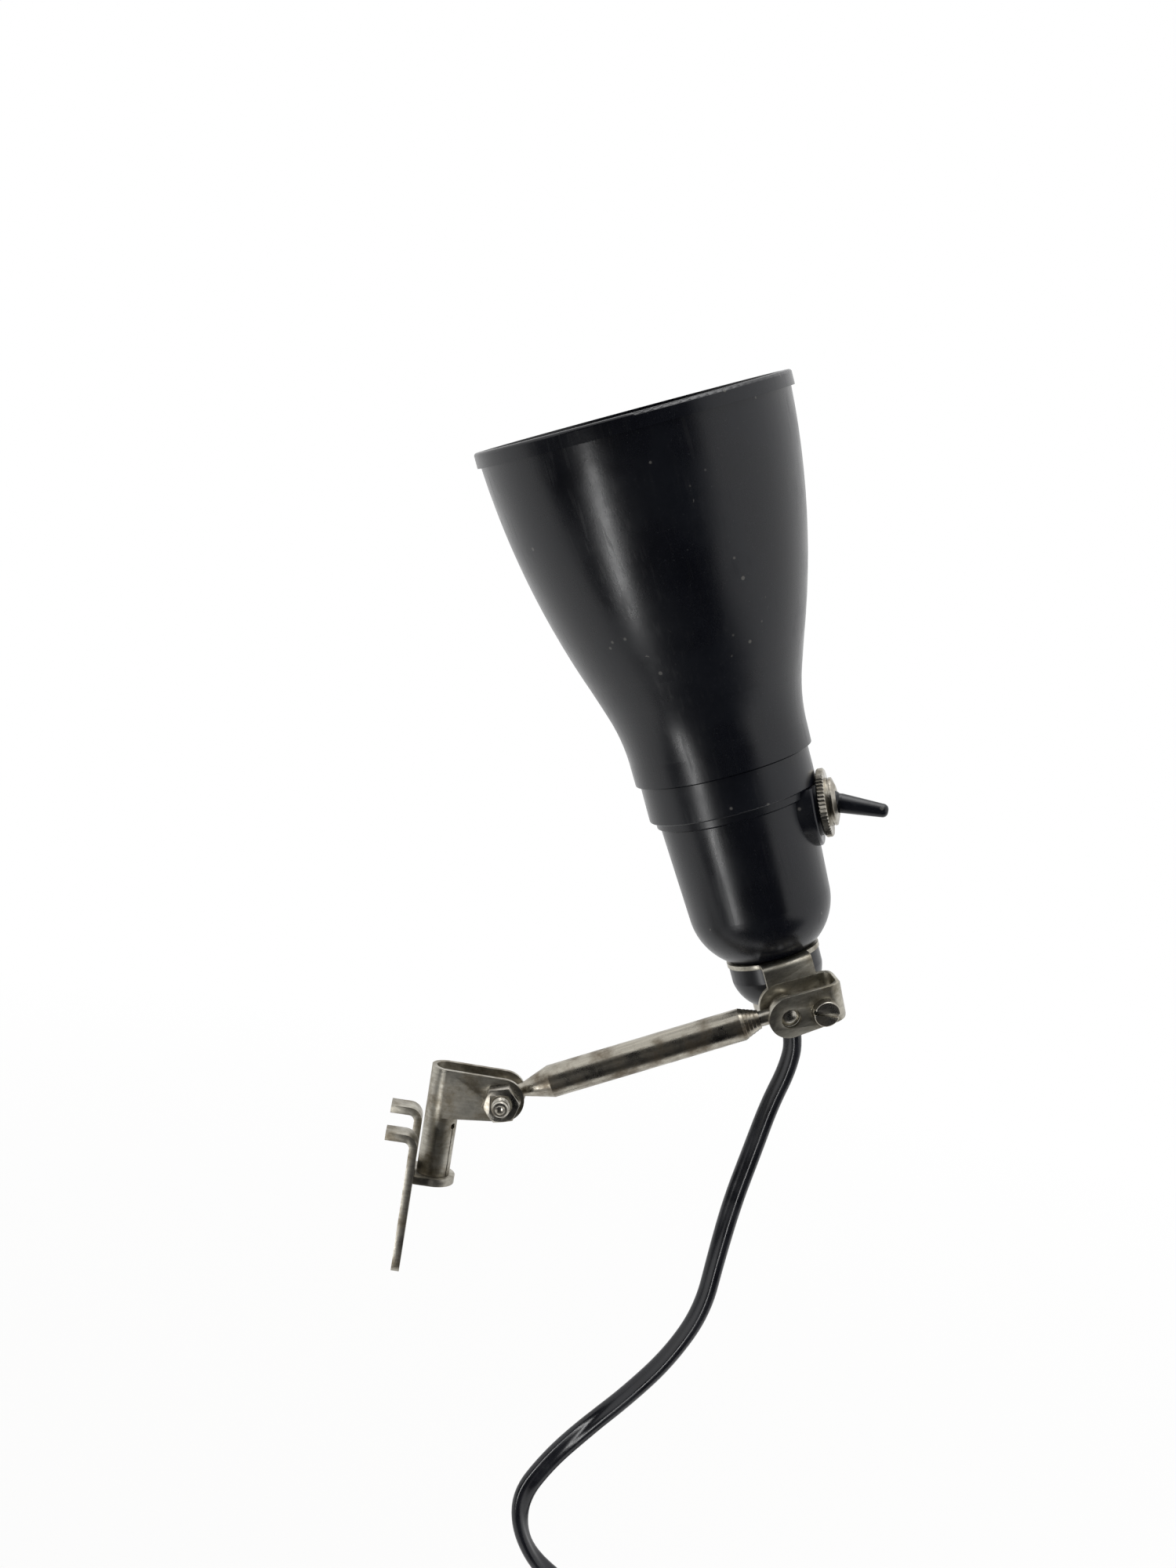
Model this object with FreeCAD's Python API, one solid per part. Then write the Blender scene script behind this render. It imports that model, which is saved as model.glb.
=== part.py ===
import FreeCAD, Part
import math
import os

# Bracket-mounted adjustable lamp, in millimetres.
# Origin: the middle of the hook plate's back face, which lies against the wall.
# +X points away from the wall, +Z up along the swivel pin, and the viewer stands at -Y.

V = FreeCAD.Vector

# ---------------------------------------------------------------- driving dimensions

# Fits
running_gap = 0.05       # radial gap of a pin or stud in its hole
thread_gap = 0.05        # radial gap of a screwed joint, whose threads are left plain
seat_gap = 0.10          # gap between faces that rest on each other but turn or slide
face_gap = 0.30          # gap between curved faces that only lie beside each other

# Hook plate: a strip with two prongs at the top and a lanced tab for the swivel pin
plate_sheet = 2.2
plate_width = 28.0
plate_below = 18.4       # from the origin down to the lower edge
plate_above = 20.5       # from the origin up to the top of the prongs
plate_bend = 1.6         # inner radius of the prongs' bend
plate_corner = 2.5
prong_width = 6.0
prong_reach = 6.7        # from the back face to the prong's tip
notch_floor = 9.0        # height of the notch between the prongs
notch_corner = 2.0
tab_top = 6.4
tab_radius = 6.0
tab_bend = 0.4
window_relief = 0.3
window_length = 12.5

# Swivel pin, riveted into the tab
pin_radius = 3.14
pin_top = 21.0
pin_chamfer = 0.8
rivet_radius = 2.2
rivet_head_radius = 3.6
rivet_head_height = 1.1

# Swivel sleeve and clevis, folded from one sheet
sleeve_sheet = 1.25
sleeve_radius = 4.45
sleeve_top = 36.6
sleeve_split = 23.0      # below this height the sheet is closed to a tube
sleeve_off_plate = 0.5
seam_width = 0.35
seam_angle = 55.0        # of the seam, from the viewer's side towards +X
seam_hole_radius = 0.8
hinge_x = 22.7           # hinge bolt, from the plate's back face
hinge_z = 30.7
hinge_ear_radius = 5.9

# Hinge bolt and nut
bolt_radius = 2.5
bolt_tail = 3.2          # of the bolt past the nut
bolt_dimple = 1.4
bolt_head_flats = 8.0
bolt_head_height = 3.5
nut_flats = 9.0
nut_height = 4.5
nut_turn = 15.0
hex_chamfer = 0.9

# Arm rod, turned from bar
arm_swing = -2.5         # of the sleeve and all it carries, from square to the plate
arm_angle = 26.8         # above the horizontal
arm_length = 79.15       # hinge bolt to ball centre
rod_radius = 4.4
rod_eye_radius = 4.4
rod_neck_radius = 1.9
rod_cone_start = 5.9
rod_cone_end = 13.6
rod_tip_length = 4.9     # of the outer cone
rod_tip_radius = 2.5
rod_rings = 5            # fine turned rings on the outer cone
rod_ring_depth = 0.12

# Ball stud, screwed into the rod's end
ball_radius = 4.55
stud_reach = 7.3         # ball centre to the rod's end
stud_neck_radius = 2.1
stud_thread_radius = 1.95
stud_thread_length = 7.0

# Head: how it leans, and where its ball clamp sits from the middle of the bracket's ring
head_lean = 24.0         # towards the wall
head_back = 1.3          # away from the viewer
clamp_yaw = 12.5         # of the bracket's tab, from the viewer's side towards +X
ball_along = -4.15       # along the clamp's legs
ball_out = 17.2          # out from the head's axis
ball_down = 12.54        # below the ring

# Clamp bracket, one sheet: ring, sloped tab and a U whose legs hold the ball
bracket_sheet = 1.25
ring_radius = 12.8
tab_width = 13.7
clamp_tilt = 14.0        # the legs lean in under the head
clamp_spacing = 8.6      # between the middles of the two legs
clamp_ear_radius = 6.0
clamp_ear_rise = 0.45    # middle of the legs' height above the ball's centre
clamp_length = 15.6      # ball centre to the outside of the U's bend
clamp_height_at_bend = 10.6
clamp_bend = 2.5         # inner radius of the U's corners
clamp_corner = 1.4
tab_bend_radius = 1.0
screw_along = 9.2        # clamp screw, from the ball's centre
screw_low = 0.6          # below the ball's centre, along the legs' height

# Clamp screw
screw_radius = 2.0
screw_head_radius = 3.6
screw_head_height = 2.6
screw_head_edge = 0.4
screw_tail = 1.4
slot_width = 1.1
slot_depth = 1.2
slot_turn = -25.5        # from the line of the legs

# Hollow nipple and its nut, which clamp body, ring and cap together
nipple_radius = 5.0
nipple_bore = 3.4
nipple_up = 9.0
nipple_down = 10.5
nipple_nut_flats = 14.0
nipple_nut_height = 3.5

# Cord cap and ferrule under the ring
cap_radius = 12.5
cap_straight = 4.4
cap_height = 11.1
cap_tip_radius = 9.0
cap_wall = 2.2
ferrule_radius = 8.75
ferrule_height = 3.6
ferrule_edge = 1.0
ferrule_bore = 2.6
ferrule_spigot = 1.6

# Holder body, a moulded cup
body_foot_radius = 11.4
body_knee = (16.8, 5.4)      # radius and height of the middle of the rounded bottom
body_side = (19.4, 13.5)     # where the rounding ends
body_radius_top = 20.7
body_lip_radius = 21.6
body_lip_height = 2.4
body_top = 42.9              # lower seam
body_neck_radius = 20.0
body_neck_height = 7.2
body_bore = 17.6
body_floor = 3.0
body_inner_corner = 6.0

# Switch in its boss on the body's side
switch_height = 38.4         # where the switch's axis meets the head's
switch_yaw = 8.0             # towards the viewer
switch_tilt = 4.0            # towards the cord
boss_radius = 11.2
boss_reach = 22.1            # from the head's axis
boss_step_radius = 8.6
boss_step_reach = 23.0
switch_nut_radius = 9.3
switch_nut_height = 2.0
knurl_teeth = 54
knurl_depth = 0.35
knurl_edge = 0.35
bushing_radius = 6.0
bushing_start = 13.0
bushing_bore = 4.3
bushing_groove_radius = 5.9
bushing_flange_radius = 6.5
bushing_flange = 0.55        # thickness of the inner flange
bushing_groove = 0.35
bushing_cap = 0.65           # thickness of the outer flange
bushing_dome = 0.8
bushing_mouth = 0.8          # how far the mouth opens past the lever's ball
lever_depth = 1.6            # of the lever's pivot under the bushing's face
lever_rest = 19.5            # from the switch's axis towards the cord
lever_ball_radius = 3.1
lever_length = 15.3          # pivot to tip
lever_root_radius = 2.65
lever_tip_radius = 1.75
lever_tail = 5.0
lever_tail_radius = 1.0
pivot_pin_radius = 0.6
pivot_pin_length = 10.0
switch_case_radius = 7.4
switch_case_start = 2.5

# Shade collar
collar_radius = 23.1
collar_height = 10.5
collar_bore = 17.0
collar_web = 3.1
spigot_radius = 22.0
spigot_height = 6.6

# Shade: outer radii and heights above the bracket's ring
shade_wall = 2.1
shade_lip = (24.3, 53.6)
shade_neck = (24.4, 60.0)
shade_waist = (25.1, 66.8)
shade_cone_low = (26.9, 74.0)
shade_cone_high = (29.5, 82.0)
shade_belly = (37.6, 111.2)
shade_flare = (42.0, 146.0)
rim_radius = 43.0
rim_height = 4.1
rim_edge = 0.8

# Lampholder insert and contacts
insert_flange_radius = 17.4
insert_flange_height = 4.0
insert_tower_radius = 16.2
insert_top = 74.0
socket_floor = 49.0
socket_bore = 13.5
shell_wall = 0.35
shell_radius = 13.45
shell_lip_radius = 15.0
shell_start = 53.8
tongue_width = 6.0
tongue_sheet = 0.6
tongue_reach = 6.5
tongue_rise = 3.2
side_tongue_radius = 10.6
side_tongue_top = 0.8        # below the shell's lower edge
terminal_out = 9.5
terminal_back = -6.0
terminal_radius = 2.8
terminal_height = 2.2
terminal_shank = 1.6

# Cord: flat twin flex, modelled as a round tube as wide as the flex
cord_width = 5.8
core_radius = 1.2
core_spread = 1.3
# Route of the stretch that hangs free, from where it first bends to where its coil begins
cord_points = [
    (98.5, 18.0, 45.7),
    (95.3, 18.2, 34.3),
    (92.9, 18.3, 20.4),
    (90.1, 18.5, 5.0),
    (88.4, 18.7, -11.6),
    (87.2, 18.9, -28.7),
    (80.2, 19.1, -44.2),
    (70.5, 19.3, -57.7),
    (60.2, 19.5, -69.7),
    (51.3, 19.7, -81.6),
    (45.0, 19.8, -94.0),
    (47.7, 20.0, -107.5),
    (57.5, 20.0, -117.1),
    (68.5, 20.0, -122.3),
]
cord_first_run = 9.0
cord_last_run = 9.8
coil_turns = 8.25
coil_layers = 4
coil_mean_radius = 30.1
coil_pitch = 6.35
coil_layer_pitch = 6.4
tie_sheet = 1.0
tie_width = 7.0
tie_slack = 0.4
tie_corner = 4.0
tie_turn = 160.0             # place of the tie round the coil, from its top

# Plug
plug_relief_length = 16.0
plug_relief_radius = 3.6
plug_body_length = 26.0
plug_body_width = 27.0
plug_body_depth = 14.0
plug_edge = 4.5
pin_spacing = 19.0
plug_pin_radius = 2.0
plug_pin_length = 19.0

# ---------------------------------------------------------------- places that follow

sleeve_x = plate_sheet + sleeve_off_plate + sleeve_radius
sleeve_foot = tab_top + seat_gap
leg_middle = sleeve_radius - sleeve_sheet / 2
leg_gap = 2 * (sleeve_radius - sleeve_sheet)
rod_end = arm_length - stud_reach
rod_shoulder = rod_end - rod_tip_length
clamp_inside = clamp_spacing / 2 - bracket_sheet / 2
ball_hole_radius = math.sqrt(ball_radius**2 - clamp_inside**2) + running_gap
tab_corner = cap_radius + face_gap + tab_bend_radius + bracket_sheet / 2
collar_top = body_top + collar_height
switch_seat = boss_step_reach + switch_nut_height
bushing_rim = switch_seat + bushing_flange + bushing_groove + bushing_cap
switch_face = bushing_rim + bushing_dome
lever_pivot = switch_face - lever_depth
insert_flange_top = collar_top - collar_web - seat_gap
ferrule_top = -bracket_sheet - cap_height - seat_gap
ferrule_foot = ferrule_top - ferrule_height

# ---------------------------------------------------------------- helpers


def flat(a, b):
    """A point of an outline that is drawn in the XZ plane."""
    return V(a, 0, b)


def outline(corners, place=flat):
    """A closed wire through corners (a, b, radius), each rounded by its radius."""
    edges = []
    joints = []
    count = len(corners)
    for i in range(count):
        before = V(*corners[i - 1][:2], 0)
        here = V(*corners[i][:2], 0)
        after = V(*corners[(i + 1) % count][:2], 0)
        radius = corners[i][2]
        to_before = (before - here).normalize()
        to_after = (after - here).normalize()
        if radius <= 0:
            joints.append((here, None, here))
            continue
        half = to_before.getAngle(to_after) / 2
        reach = radius / math.tan(half)
        middle = (to_before + to_after).normalize() * (radius / math.sin(half) - radius)
        joints.append((here + to_before * reach, here + middle, here + to_after * reach))
    for i in range(count):
        start, middle, end = joints[i]
        if middle is not None:
            points = [place(p.x, p.y) for p in (start, middle, end)]
            edges.append(Part.Arc(*points).toShape())
        following = joints[(i + 1) % count][0]
        if (following - end).Length > 1e-6:
            edges.append(Part.LineSegment(place(end.x, end.y), place(following.x, following.y)).toShape())
    return Part.Wire(edges)


def prism(corners, place, way):
    """A rounded outline, filled and pushed along a vector."""
    return Part.Face(outline(corners, place)).extrude(way)


def folded(middle_line, sheet, bend):
    """Corners of the section of a folded sheet that follows an open middle line."""
    sides = []
    for side in (1, -1):
        corners = []
        last = len(middle_line) - 1
        for i, (a, b) in enumerate(middle_line):
            here = V(a, b, 0)
            ahead = V(*middle_line[min(i + 1, last)], 0) - V(*middle_line[min(i, last - 1)], 0)
            behind = V(*middle_line[max(i, 1)], 0) - V(*middle_line[max(i - 1, 0)], 0)
            ahead.normalize()
            behind.normalize()
            normal = V(-(ahead + behind).y, (ahead + behind).x, 0).normalize()
            shift = sheet / 2 / normal.dot(V(-ahead.y, ahead.x, 0))
            point = here + normal * (side * shift)
            turn = behind.cross(ahead).z
            inner = turn * side > 0
            radius = 0 if abs(turn) < 1e-6 else bend if inner else bend + sheet
            corners.append((point.x, point.y, radius))
        sides.append(corners)
    return sides[0] + sides[1][::-1]


def revolved(edges):
    """A closed outline of (radius, height) edges, spun round the Z axis."""
    return Part.Face(Part.Wire(edges)).revolve(V(0, 0, 0), V(0, 0, 1), 360)


def line(start, end):
    return Part.LineSegment(flat(*start), flat(*end)).toShape()


def arc(start, middle, end):
    return Part.Arc(flat(*start), flat(*middle), flat(*end)).toShape()


def turned(corners):
    """A lathe shape from rounded corners (radius, height, corner radius)."""
    return Part.Face(outline(corners)).revolve(V(0, 0, 0), V(0, 0, 1), 360)


def cylinder(radius, start, end, axis=V(0, 0, 1), centre=V(0, 0, 0)):
    """A cylinder along an axis through a centre, from one distance to another."""
    return Part.makeCylinder(radius, end - start, centre + axis * start, axis)


def hexagon(flats, start, end, corner_turn=0.0, chamfered=(True, True)):
    """A hexagonal prism along Z whose corners are turned off at the ends."""
    reach = flats / math.sqrt(3)
    points = []
    for i in range(6):
        angle = math.radians(corner_turn + 60 * i)
        points.append((reach * math.cos(angle), reach * math.sin(angle), 0))
    prism_shape = prism(points, lambda a, b: V(a, b, start), V(0, 0, end - start))
    low = hex_chamfer if chamfered[0] else 0
    high = hex_chamfer if chamfered[1] else 0
    slope = 0.5
    barrel = turned([
        (0, start, 0),
        (reach - low, start, 0),
        (reach, start + low * slope + 1e-3, 0),
        (reach, end - high * slope - 1e-3, 0),
        (reach - high, end, 0),
        (0, end, 0),
    ])
    return prism_shape.common(barrel)


def stand_on(shape, axis, centre=V(0, 0, 0)):
    """Turns a shape that was made along Z so that it lies along another axis."""
    moved = shape.copy()
    turn = FreeCAD.Rotation(V(0, 0, 1), axis)
    moved.Placement = FreeCAD.Placement(centre, turn).multiply(moved.Placement)
    return moved


def rounded_route(points):
    """Straight runs joined by tangent arcs as large as the runs allow."""
    edges = []
    radii = []
    here = points[0]
    for before, corner, after in zip(points, points[1:], points[2:]):
        to_before = before - corner
        to_after = after - corner
        shorter = min(to_before.Length, to_after.Length)
        half_turn = (math.pi - to_before.getAngle(to_after)) / 2
        reach = 0.45 * shorter
        radius = reach / math.tan(half_turn)
        radii.append(radius)
        to_before.normalize()
        to_after.normalize()
        start = corner + to_before * reach
        end = corner + to_after * reach
        inward = (to_before + to_after).normalize()
        middle = corner + inward * (radius / math.cos(half_turn) - radius)
        edges.append(Part.LineSegment(here, start).toShape())
        edges.append(Part.Arc(start, middle, end).toShape())
        here = end
    edges.append(Part.LineSegment(here, points[-1]).toShape())
    return Part.Wire(edges), radii


def tube(route, radius):
    """A round tube along a route."""
    start = route.OrderedVertexes[0].Point
    first = route.OrderedEdges[0]
    way = first.tangentAt(first.FirstParameter)
    if (first.valueAt(first.FirstParameter) - start).Length > 1e-6:
        way = -first.tangentAt(first.LastParameter)
    profile = Part.Wire(Part.makeCircle(radius, start, way))
    return route.makePipeShell([profile], True, False)


def biarc(start, way, end, end_way):
    """Two tangent arcs from a point and direction to another point and direction."""
    chord = end - start
    both = way + end_way
    a = 2 * (1 - way.dot(end_way))
    b = 2 * chord.dot(both)
    c = -chord.dot(chord)
    d = (-b + math.sqrt(b * b - 4 * a * c)) / (2 * a) if a > 1e-9 else -c / b
    left = start + way * d
    right = end - end_way * d
    joint = (left + right) * 0.5
    arcs = []
    for p, q, pole in ((start, joint, left), (joint, end, right)):
        middle = (p + q) * 0.5
        reach = (pole - middle).Length
        half = (p - q).Length / 2
        radius = half * math.hypot(half, reach) / reach
        sagitta = radius - math.sqrt(max(radius * radius - half * half, 0))
        arcs.append(Part.Arc(p, middle + (pole - middle).normalize() * sagitta, q).toShape())
    return arcs


# ---------------------------------------------------------------- wall side


def make_hook_plate():
    """Strip with two prongs bent towards the wall and a lanced tab bent to the front."""
    half = plate_sheet / 2
    section = folded(
        [(half, -plate_below), (half, plate_above - half), (-prong_reach, plate_above - half)],
        plate_sheet,
        plate_bend,
    )
    plate = prism(section, lambda a, b: V(a, -plate_width / 2, b), V(0, plate_width, 0))
    face = prism(
        [
            (-plate_width / 2, -plate_below, plate_corner),
            (plate_width / 2, -plate_below, plate_corner),
            (plate_width / 2, plate_above + 1, 0),
            (-plate_width / 2, plate_above + 1, 0),
        ],
        lambda a, b: V(-prong_reach - 1, a, b),
        V(prong_reach + plate_sheet + 2, 0, 0),
    )
    plate = plate.common(face)
    notch_half = plate_width / 2 - prong_width
    notch = prism(
        [
            (-notch_half, notch_floor, notch_corner),
            (notch_half, notch_floor, notch_corner),
            (notch_half, plate_above + 1, 0),
            (-notch_half, plate_above + 1, 0),
        ],
        lambda a, b: V(-prong_reach - 1, a, b),
        V(prong_reach + plate_sheet + 2, 0, 0),
    )
    root = tab_top + tab_bend
    window_half = tab_radius + window_relief
    window = prism(
        [
            (-window_half, root, 0),
            (window_half, root, 0),
            (window_half, root - window_length, window_half - 0.1),
            (-window_half, root - window_length, window_half - 0.1),
        ],
        lambda a, b: V(-1, a, b),
        V(plate_sheet + 2, 0, 0),
    )
    half_section = folded(
        [(half, root + 1), (half, tab_top - half), (sleeve_x + tab_radius, tab_top - half)],
        plate_sheet,
        tab_bend,
    )
    tab = prism(half_section, lambda a, b: V(a, -tab_radius, b), V(0, 2 * tab_radius, 0))
    end = Part.makeCylinder(tab_radius, 20, V(sleeve_x, 0, tab_top - 10))
    strip = Part.makeBox(sleeve_x, 2 * tab_radius, 20, V(0, -tab_radius, tab_top - 10))
    tab = tab.common(end.fuse(strip))
    rivet_hole = cylinder(rivet_radius + running_gap, tab_top - 5, tab_top + 2, centre=V(sleeve_x, 0, 0))
    return plate.cut(notch).cut(window).fuse(tab).cut(rivet_hole).removeSplitter()


def make_swivel_pin():
    """Pin for the sleeve, with a shank through the tab and a rivet head under it."""
    under = tab_top - plate_sheet
    pin = turned([
        (0, under - rivet_head_height, 0),
        (rivet_head_radius, under - rivet_head_height, 0.9),
        (rivet_head_radius, under, 0),
        (rivet_radius, under, 0),
        (rivet_radius, tab_top, 0),
        (pin_radius, tab_top, 0),
        (pin_radius, pin_top, pin_chamfer),
        (0, pin_top, 0),
    ])
    pin.translate(V(sleeve_x, 0, 0))
    return pin


def make_sleeve_clevis():
    """Sheet rolled to a tube below and left open as a U with two ears above."""
    centre = V(sleeve_x, 0, 0)
    inner = sleeve_radius - sleeve_sheet
    rolled = cylinder(sleeve_radius, sleeve_foot, sleeve_top, centre=centre)
    opened = Part.makeBox(
        sleeve_radius + 1, 2 * sleeve_radius + 2, sleeve_top,
        V(sleeve_x, -sleeve_radius - 1, sleeve_split),
    )
    ears = prism(
        [
            (sleeve_x, sleeve_split, 0),
            (hinge_x, hinge_z - hinge_ear_radius, 0),
            (hinge_x + hinge_ear_radius, hinge_z - hinge_ear_radius, hinge_ear_radius),
            (hinge_x + hinge_ear_radius, sleeve_top, sleeve_top - hinge_z),
            (hinge_x, sleeve_top, 0),
            (sleeve_x, sleeve_top, 0),
        ],
        lambda a, b: V(a, -sleeve_radius, b),
        V(0, 2 * sleeve_radius, 0),
    )
    bore = cylinder(inner, sleeve_foot - 1, sleeve_top + 1, centre=centre)
    between = Part.makeBox(
        hinge_x + hinge_ear_radius, leg_gap, sleeve_top, V(sleeve_x, -leg_gap / 2, sleeve_split)
    )
    seam_way = V(math.sin(math.radians(seam_angle)), -math.cos(math.radians(seam_angle)), 0)
    seam_top = sleeve_split - 2.2
    seam = prism(
        [
            (0, sleeve_foot - 1, 0),
            (sleeve_radius + 1, sleeve_foot - 1, 0),
            (sleeve_radius + 1, seam_top, 0),
            (0, seam_top, 0),
        ],
        lambda a, b: centre + seam_way * a + V(0, 0, b) + seam_way.cross(V(0, 0, 1)) * (seam_width / 2),
        -seam_way.cross(V(0, 0, 1)) * seam_width,
    )
    relief = cylinder(seam_hole_radius, 0, sleeve_radius + 1, seam_way, centre + V(0, 0, seam_top))
    hinge_hole = cylinder(
        bolt_radius + running_gap, -sleeve_radius - 1, sleeve_radius + 1, V(0, 1, 0), V(hinge_x, 0, hinge_z)
    )
    clevis = rolled.cut(opened).fuse(ears).cut(bore).cut(between)
    return clevis.cut(seam).cut(relief).cut(hinge_hole).removeSplitter()


def make_hinge_bolt():
    """Hexagon bolt from behind, with a dimpled end that stands past its nut."""
    head = hexagon(bolt_head_flats, -bolt_head_height, 0, 0, (True, False))
    tail = 2 * sleeve_radius + nut_height + bolt_tail
    shank = turned([(0, -1, 0), (bolt_radius, -1, 0), (bolt_radius, tail, 0.5), (0, tail, 0)])
    dimple = Part.makeSphere(bolt_dimple * 1.4, V(0, 0, tail + bolt_dimple * 0.8))
    bolt = head.fuse(shank).cut(dimple).removeSplitter()
    return stand_on(bolt, V(0, -1, 0), V(hinge_x, sleeve_radius, hinge_z))


def make_hinge_nut():
    """Hexagon nut on the viewer's side, with its corners turned off in front."""
    nut = hexagon(nut_flats, 0, nut_height, nut_turn, (False, True))
    nut = nut.cut(cylinder(bolt_radius + thread_gap, -1, nut_height + 1))
    return stand_on(nut, V(0, -1, 0), V(hinge_x, -sleeve_radius, hinge_z))


# ---------------------------------------------------------------- arm

arm_way = V(math.cos(math.radians(arm_angle)), 0, math.sin(math.radians(arm_angle)))
hinge = V(hinge_x, 0, hinge_z)
ball = hinge + arm_way * arm_length


def make_arm_rod():
    """Turned rod: an eye with two flats, a long cone, a shoulder and a ringed cone."""
    corners = [
        (0, rod_neck_radius, 0),
        (rod_cone_start, rod_neck_radius, 0),
        (rod_cone_end, rod_radius, 0),
        (rod_shoulder, rod_radius, 0),
    ]
    cone = (rod_end - rod_shoulder) / rod_rings
    for i in range(rod_rings):
        share = i / rod_rings
        radius = rod_radius + (rod_tip_radius - rod_radius) * share
        step = rod_shoulder + cone * i
        corners.append((step + 0.001, radius - rod_ring_depth * (i > 0), 0))
        corners.append((step + cone * 0.8, radius + (rod_tip_radius - rod_radius) / rod_rings * 0.8, 0))
    corners.append((rod_end, rod_tip_radius, 0))
    profile = [(radius, height, round_off) for height, radius, round_off in corners]
    rod = turned([(0, 0, 0)] + profile + [(0, rod_end, 0)])
    eye = Part.makeSphere(rod_eye_radius)
    thickness = leg_gap / 2 - seat_gap
    flats = Part.makeBox(
        4 * rod_eye_radius, 2 * thickness, rod_cone_end, V(-2 * rod_eye_radius, -thickness, -rod_eye_radius - 1)
    )
    eye = eye.common(flats)
    pivot = cylinder(bolt_radius + running_gap, -10, 10, V(0, 1, 0))
    stud_hole = cylinder(
        stud_thread_radius + running_gap, rod_end - stud_thread_length - 1, rod_end + 1
    )
    rod = rod.fuse(eye).cut(pivot).cut(stud_hole).removeSplitter()
    return place_on_arm(rod)


def place_on_arm(shape):
    """Lays a shape that was made along Z from the hinge along the arm."""
    turned_shape = shape.copy()
    rotation = FreeCAD.Rotation(V(0, 1, 0), 90 - arm_angle)
    turned_shape.Placement = FreeCAD.Placement(hinge, rotation).multiply(turned_shape.Placement)
    return turned_shape


def make_ball_stud():
    """Ball with a neck and a thread that sits in the rod's end."""
    neck_start = rod_end + seat_gap / 2
    stud = turned([
        (0, neck_start - stud_thread_length, 0),
        (stud_thread_radius, neck_start - stud_thread_length, 0.3),
        (stud_thread_radius, neck_start, 0),
        (stud_neck_radius, neck_start, 0),
        (stud_neck_radius, arm_length, 0),
        (0, arm_length, 0),
    ])
    return place_on_arm(stud.fuse(Part.makeSphere(ball_radius, V(0, 0, arm_length))).removeSplitter())


# ---------------------------------------------------------------- head frame

lean_turn = FreeCAD.Rotation(V(1, 0, 0), -head_back).multiply(FreeCAD.Rotation(V(0, 1, 0), -head_lean))
yaw_turn = FreeCAD.Rotation(V(0, 0, 1), clamp_yaw)
ball_in_clamp = V(ball_along, -ball_out, -ball_down)
head_origin = ball - lean_turn.multVec(yaw_turn.multVec(ball_in_clamp))
head_place = FreeCAD.Placement(head_origin, lean_turn)
clamp_place = head_place.multiply(FreeCAD.Placement(V(0, 0, 0), yaw_turn))


def on_head(shape):
    """Places a shape that was made round the head's axis, with the ring at height 0."""
    moved = shape.copy()
    moved.Placement = head_place.multiply(moved.Placement)
    return moved


def on_clamp(shape):
    """Places a shape that was made in the bracket's own frame, legs along X."""
    moved = shape.copy()
    moved.Placement = clamp_place.multiply(moved.Placement)
    return moved


# In the bracket's frame: the way up along a leg and the way out through both legs.
leg_up = V(0, -math.sin(math.radians(clamp_tilt)), math.cos(math.radians(clamp_tilt)))
leg_out = V(0, -math.cos(math.radians(clamp_tilt)), -math.sin(math.radians(clamp_tilt)))
screw_at = ball_in_clamp + V(screw_along, 0, 0) - leg_up * screw_low


def make_clamp_bracket():
    """One sheet: a ring under the body, a sloped tab and a U that grips the ball."""
    half = bracket_sheet / 2
    ring = cylinder(ring_radius, -bracket_sheet, 0)
    side = clamp_spacing / 2
    bend_middle = clamp_length - half
    plan = folded(
        [(-clamp_ear_radius - 1, -side), (bend_middle, -side), (bend_middle, side), (-clamp_ear_radius - 1, side)],
        bracket_sheet,
        clamp_bend,
    )
    tall = 2 * clamp_ear_radius
    legs = prism(
        plan,
        lambda a, b: ball_in_clamp + V(a, 0, 0) + leg_out * b - leg_up * tall,
        leg_up * (2 * tall),
    )
    at_bend = clamp_height_at_bend / 2
    ear = clamp_ear_radius
    outline_of_legs = prism(
        [
            (0, ear, 0),
            (-ear, ear, ear),
            (-ear, -ear, ear - 0.001),
            (0, -ear, 0),
            (clamp_length + 0.01, -at_bend, clamp_corner),
            (clamp_length + 0.01, at_bend, clamp_corner),
        ],
        lambda a, b: ball_in_clamp + V(a, 0, 0) + leg_up * (b + clamp_ear_rise) - leg_out * tall,
        leg_out * (2 * tall),
    )
    legs = legs.common(outline_of_legs)
    leg_top = ball_in_clamp - leg_out * side + leg_up * (ear + clamp_ear_rise - half)
    leg_lower = leg_top - leg_up * 3
    tab_line = [
        (-ring_radius / 2, -half),
        (-tab_corner, -half),
        (leg_top.y, leg_top.z),
        (leg_lower.y, leg_lower.z),
    ]
    tab = prism(
        folded(tab_line, bracket_sheet, tab_bend_radius),
        lambda a, b: V(-tab_width / 2, a, b),
        V(tab_width, 0, 0),
    )
    bracket = ring.fuse(tab).fuse(legs)
    ball_hole = cylinder(ball_hole_radius, -tall, tall, leg_out, ball_in_clamp)
    front_hole = cylinder(screw_radius + 0.15, 0, tall, leg_out, screw_at)
    back_hole = cylinder(screw_radius + thread_gap, -tall, 0, leg_out, screw_at)
    bore = cylinder(nipple_radius + thread_gap, -5, 5)
    bracket = bracket.cut(ball_hole).cut(front_hole).cut(back_hole).cut(bore)
    return on_clamp(bracket.removeSplitter())


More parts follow.
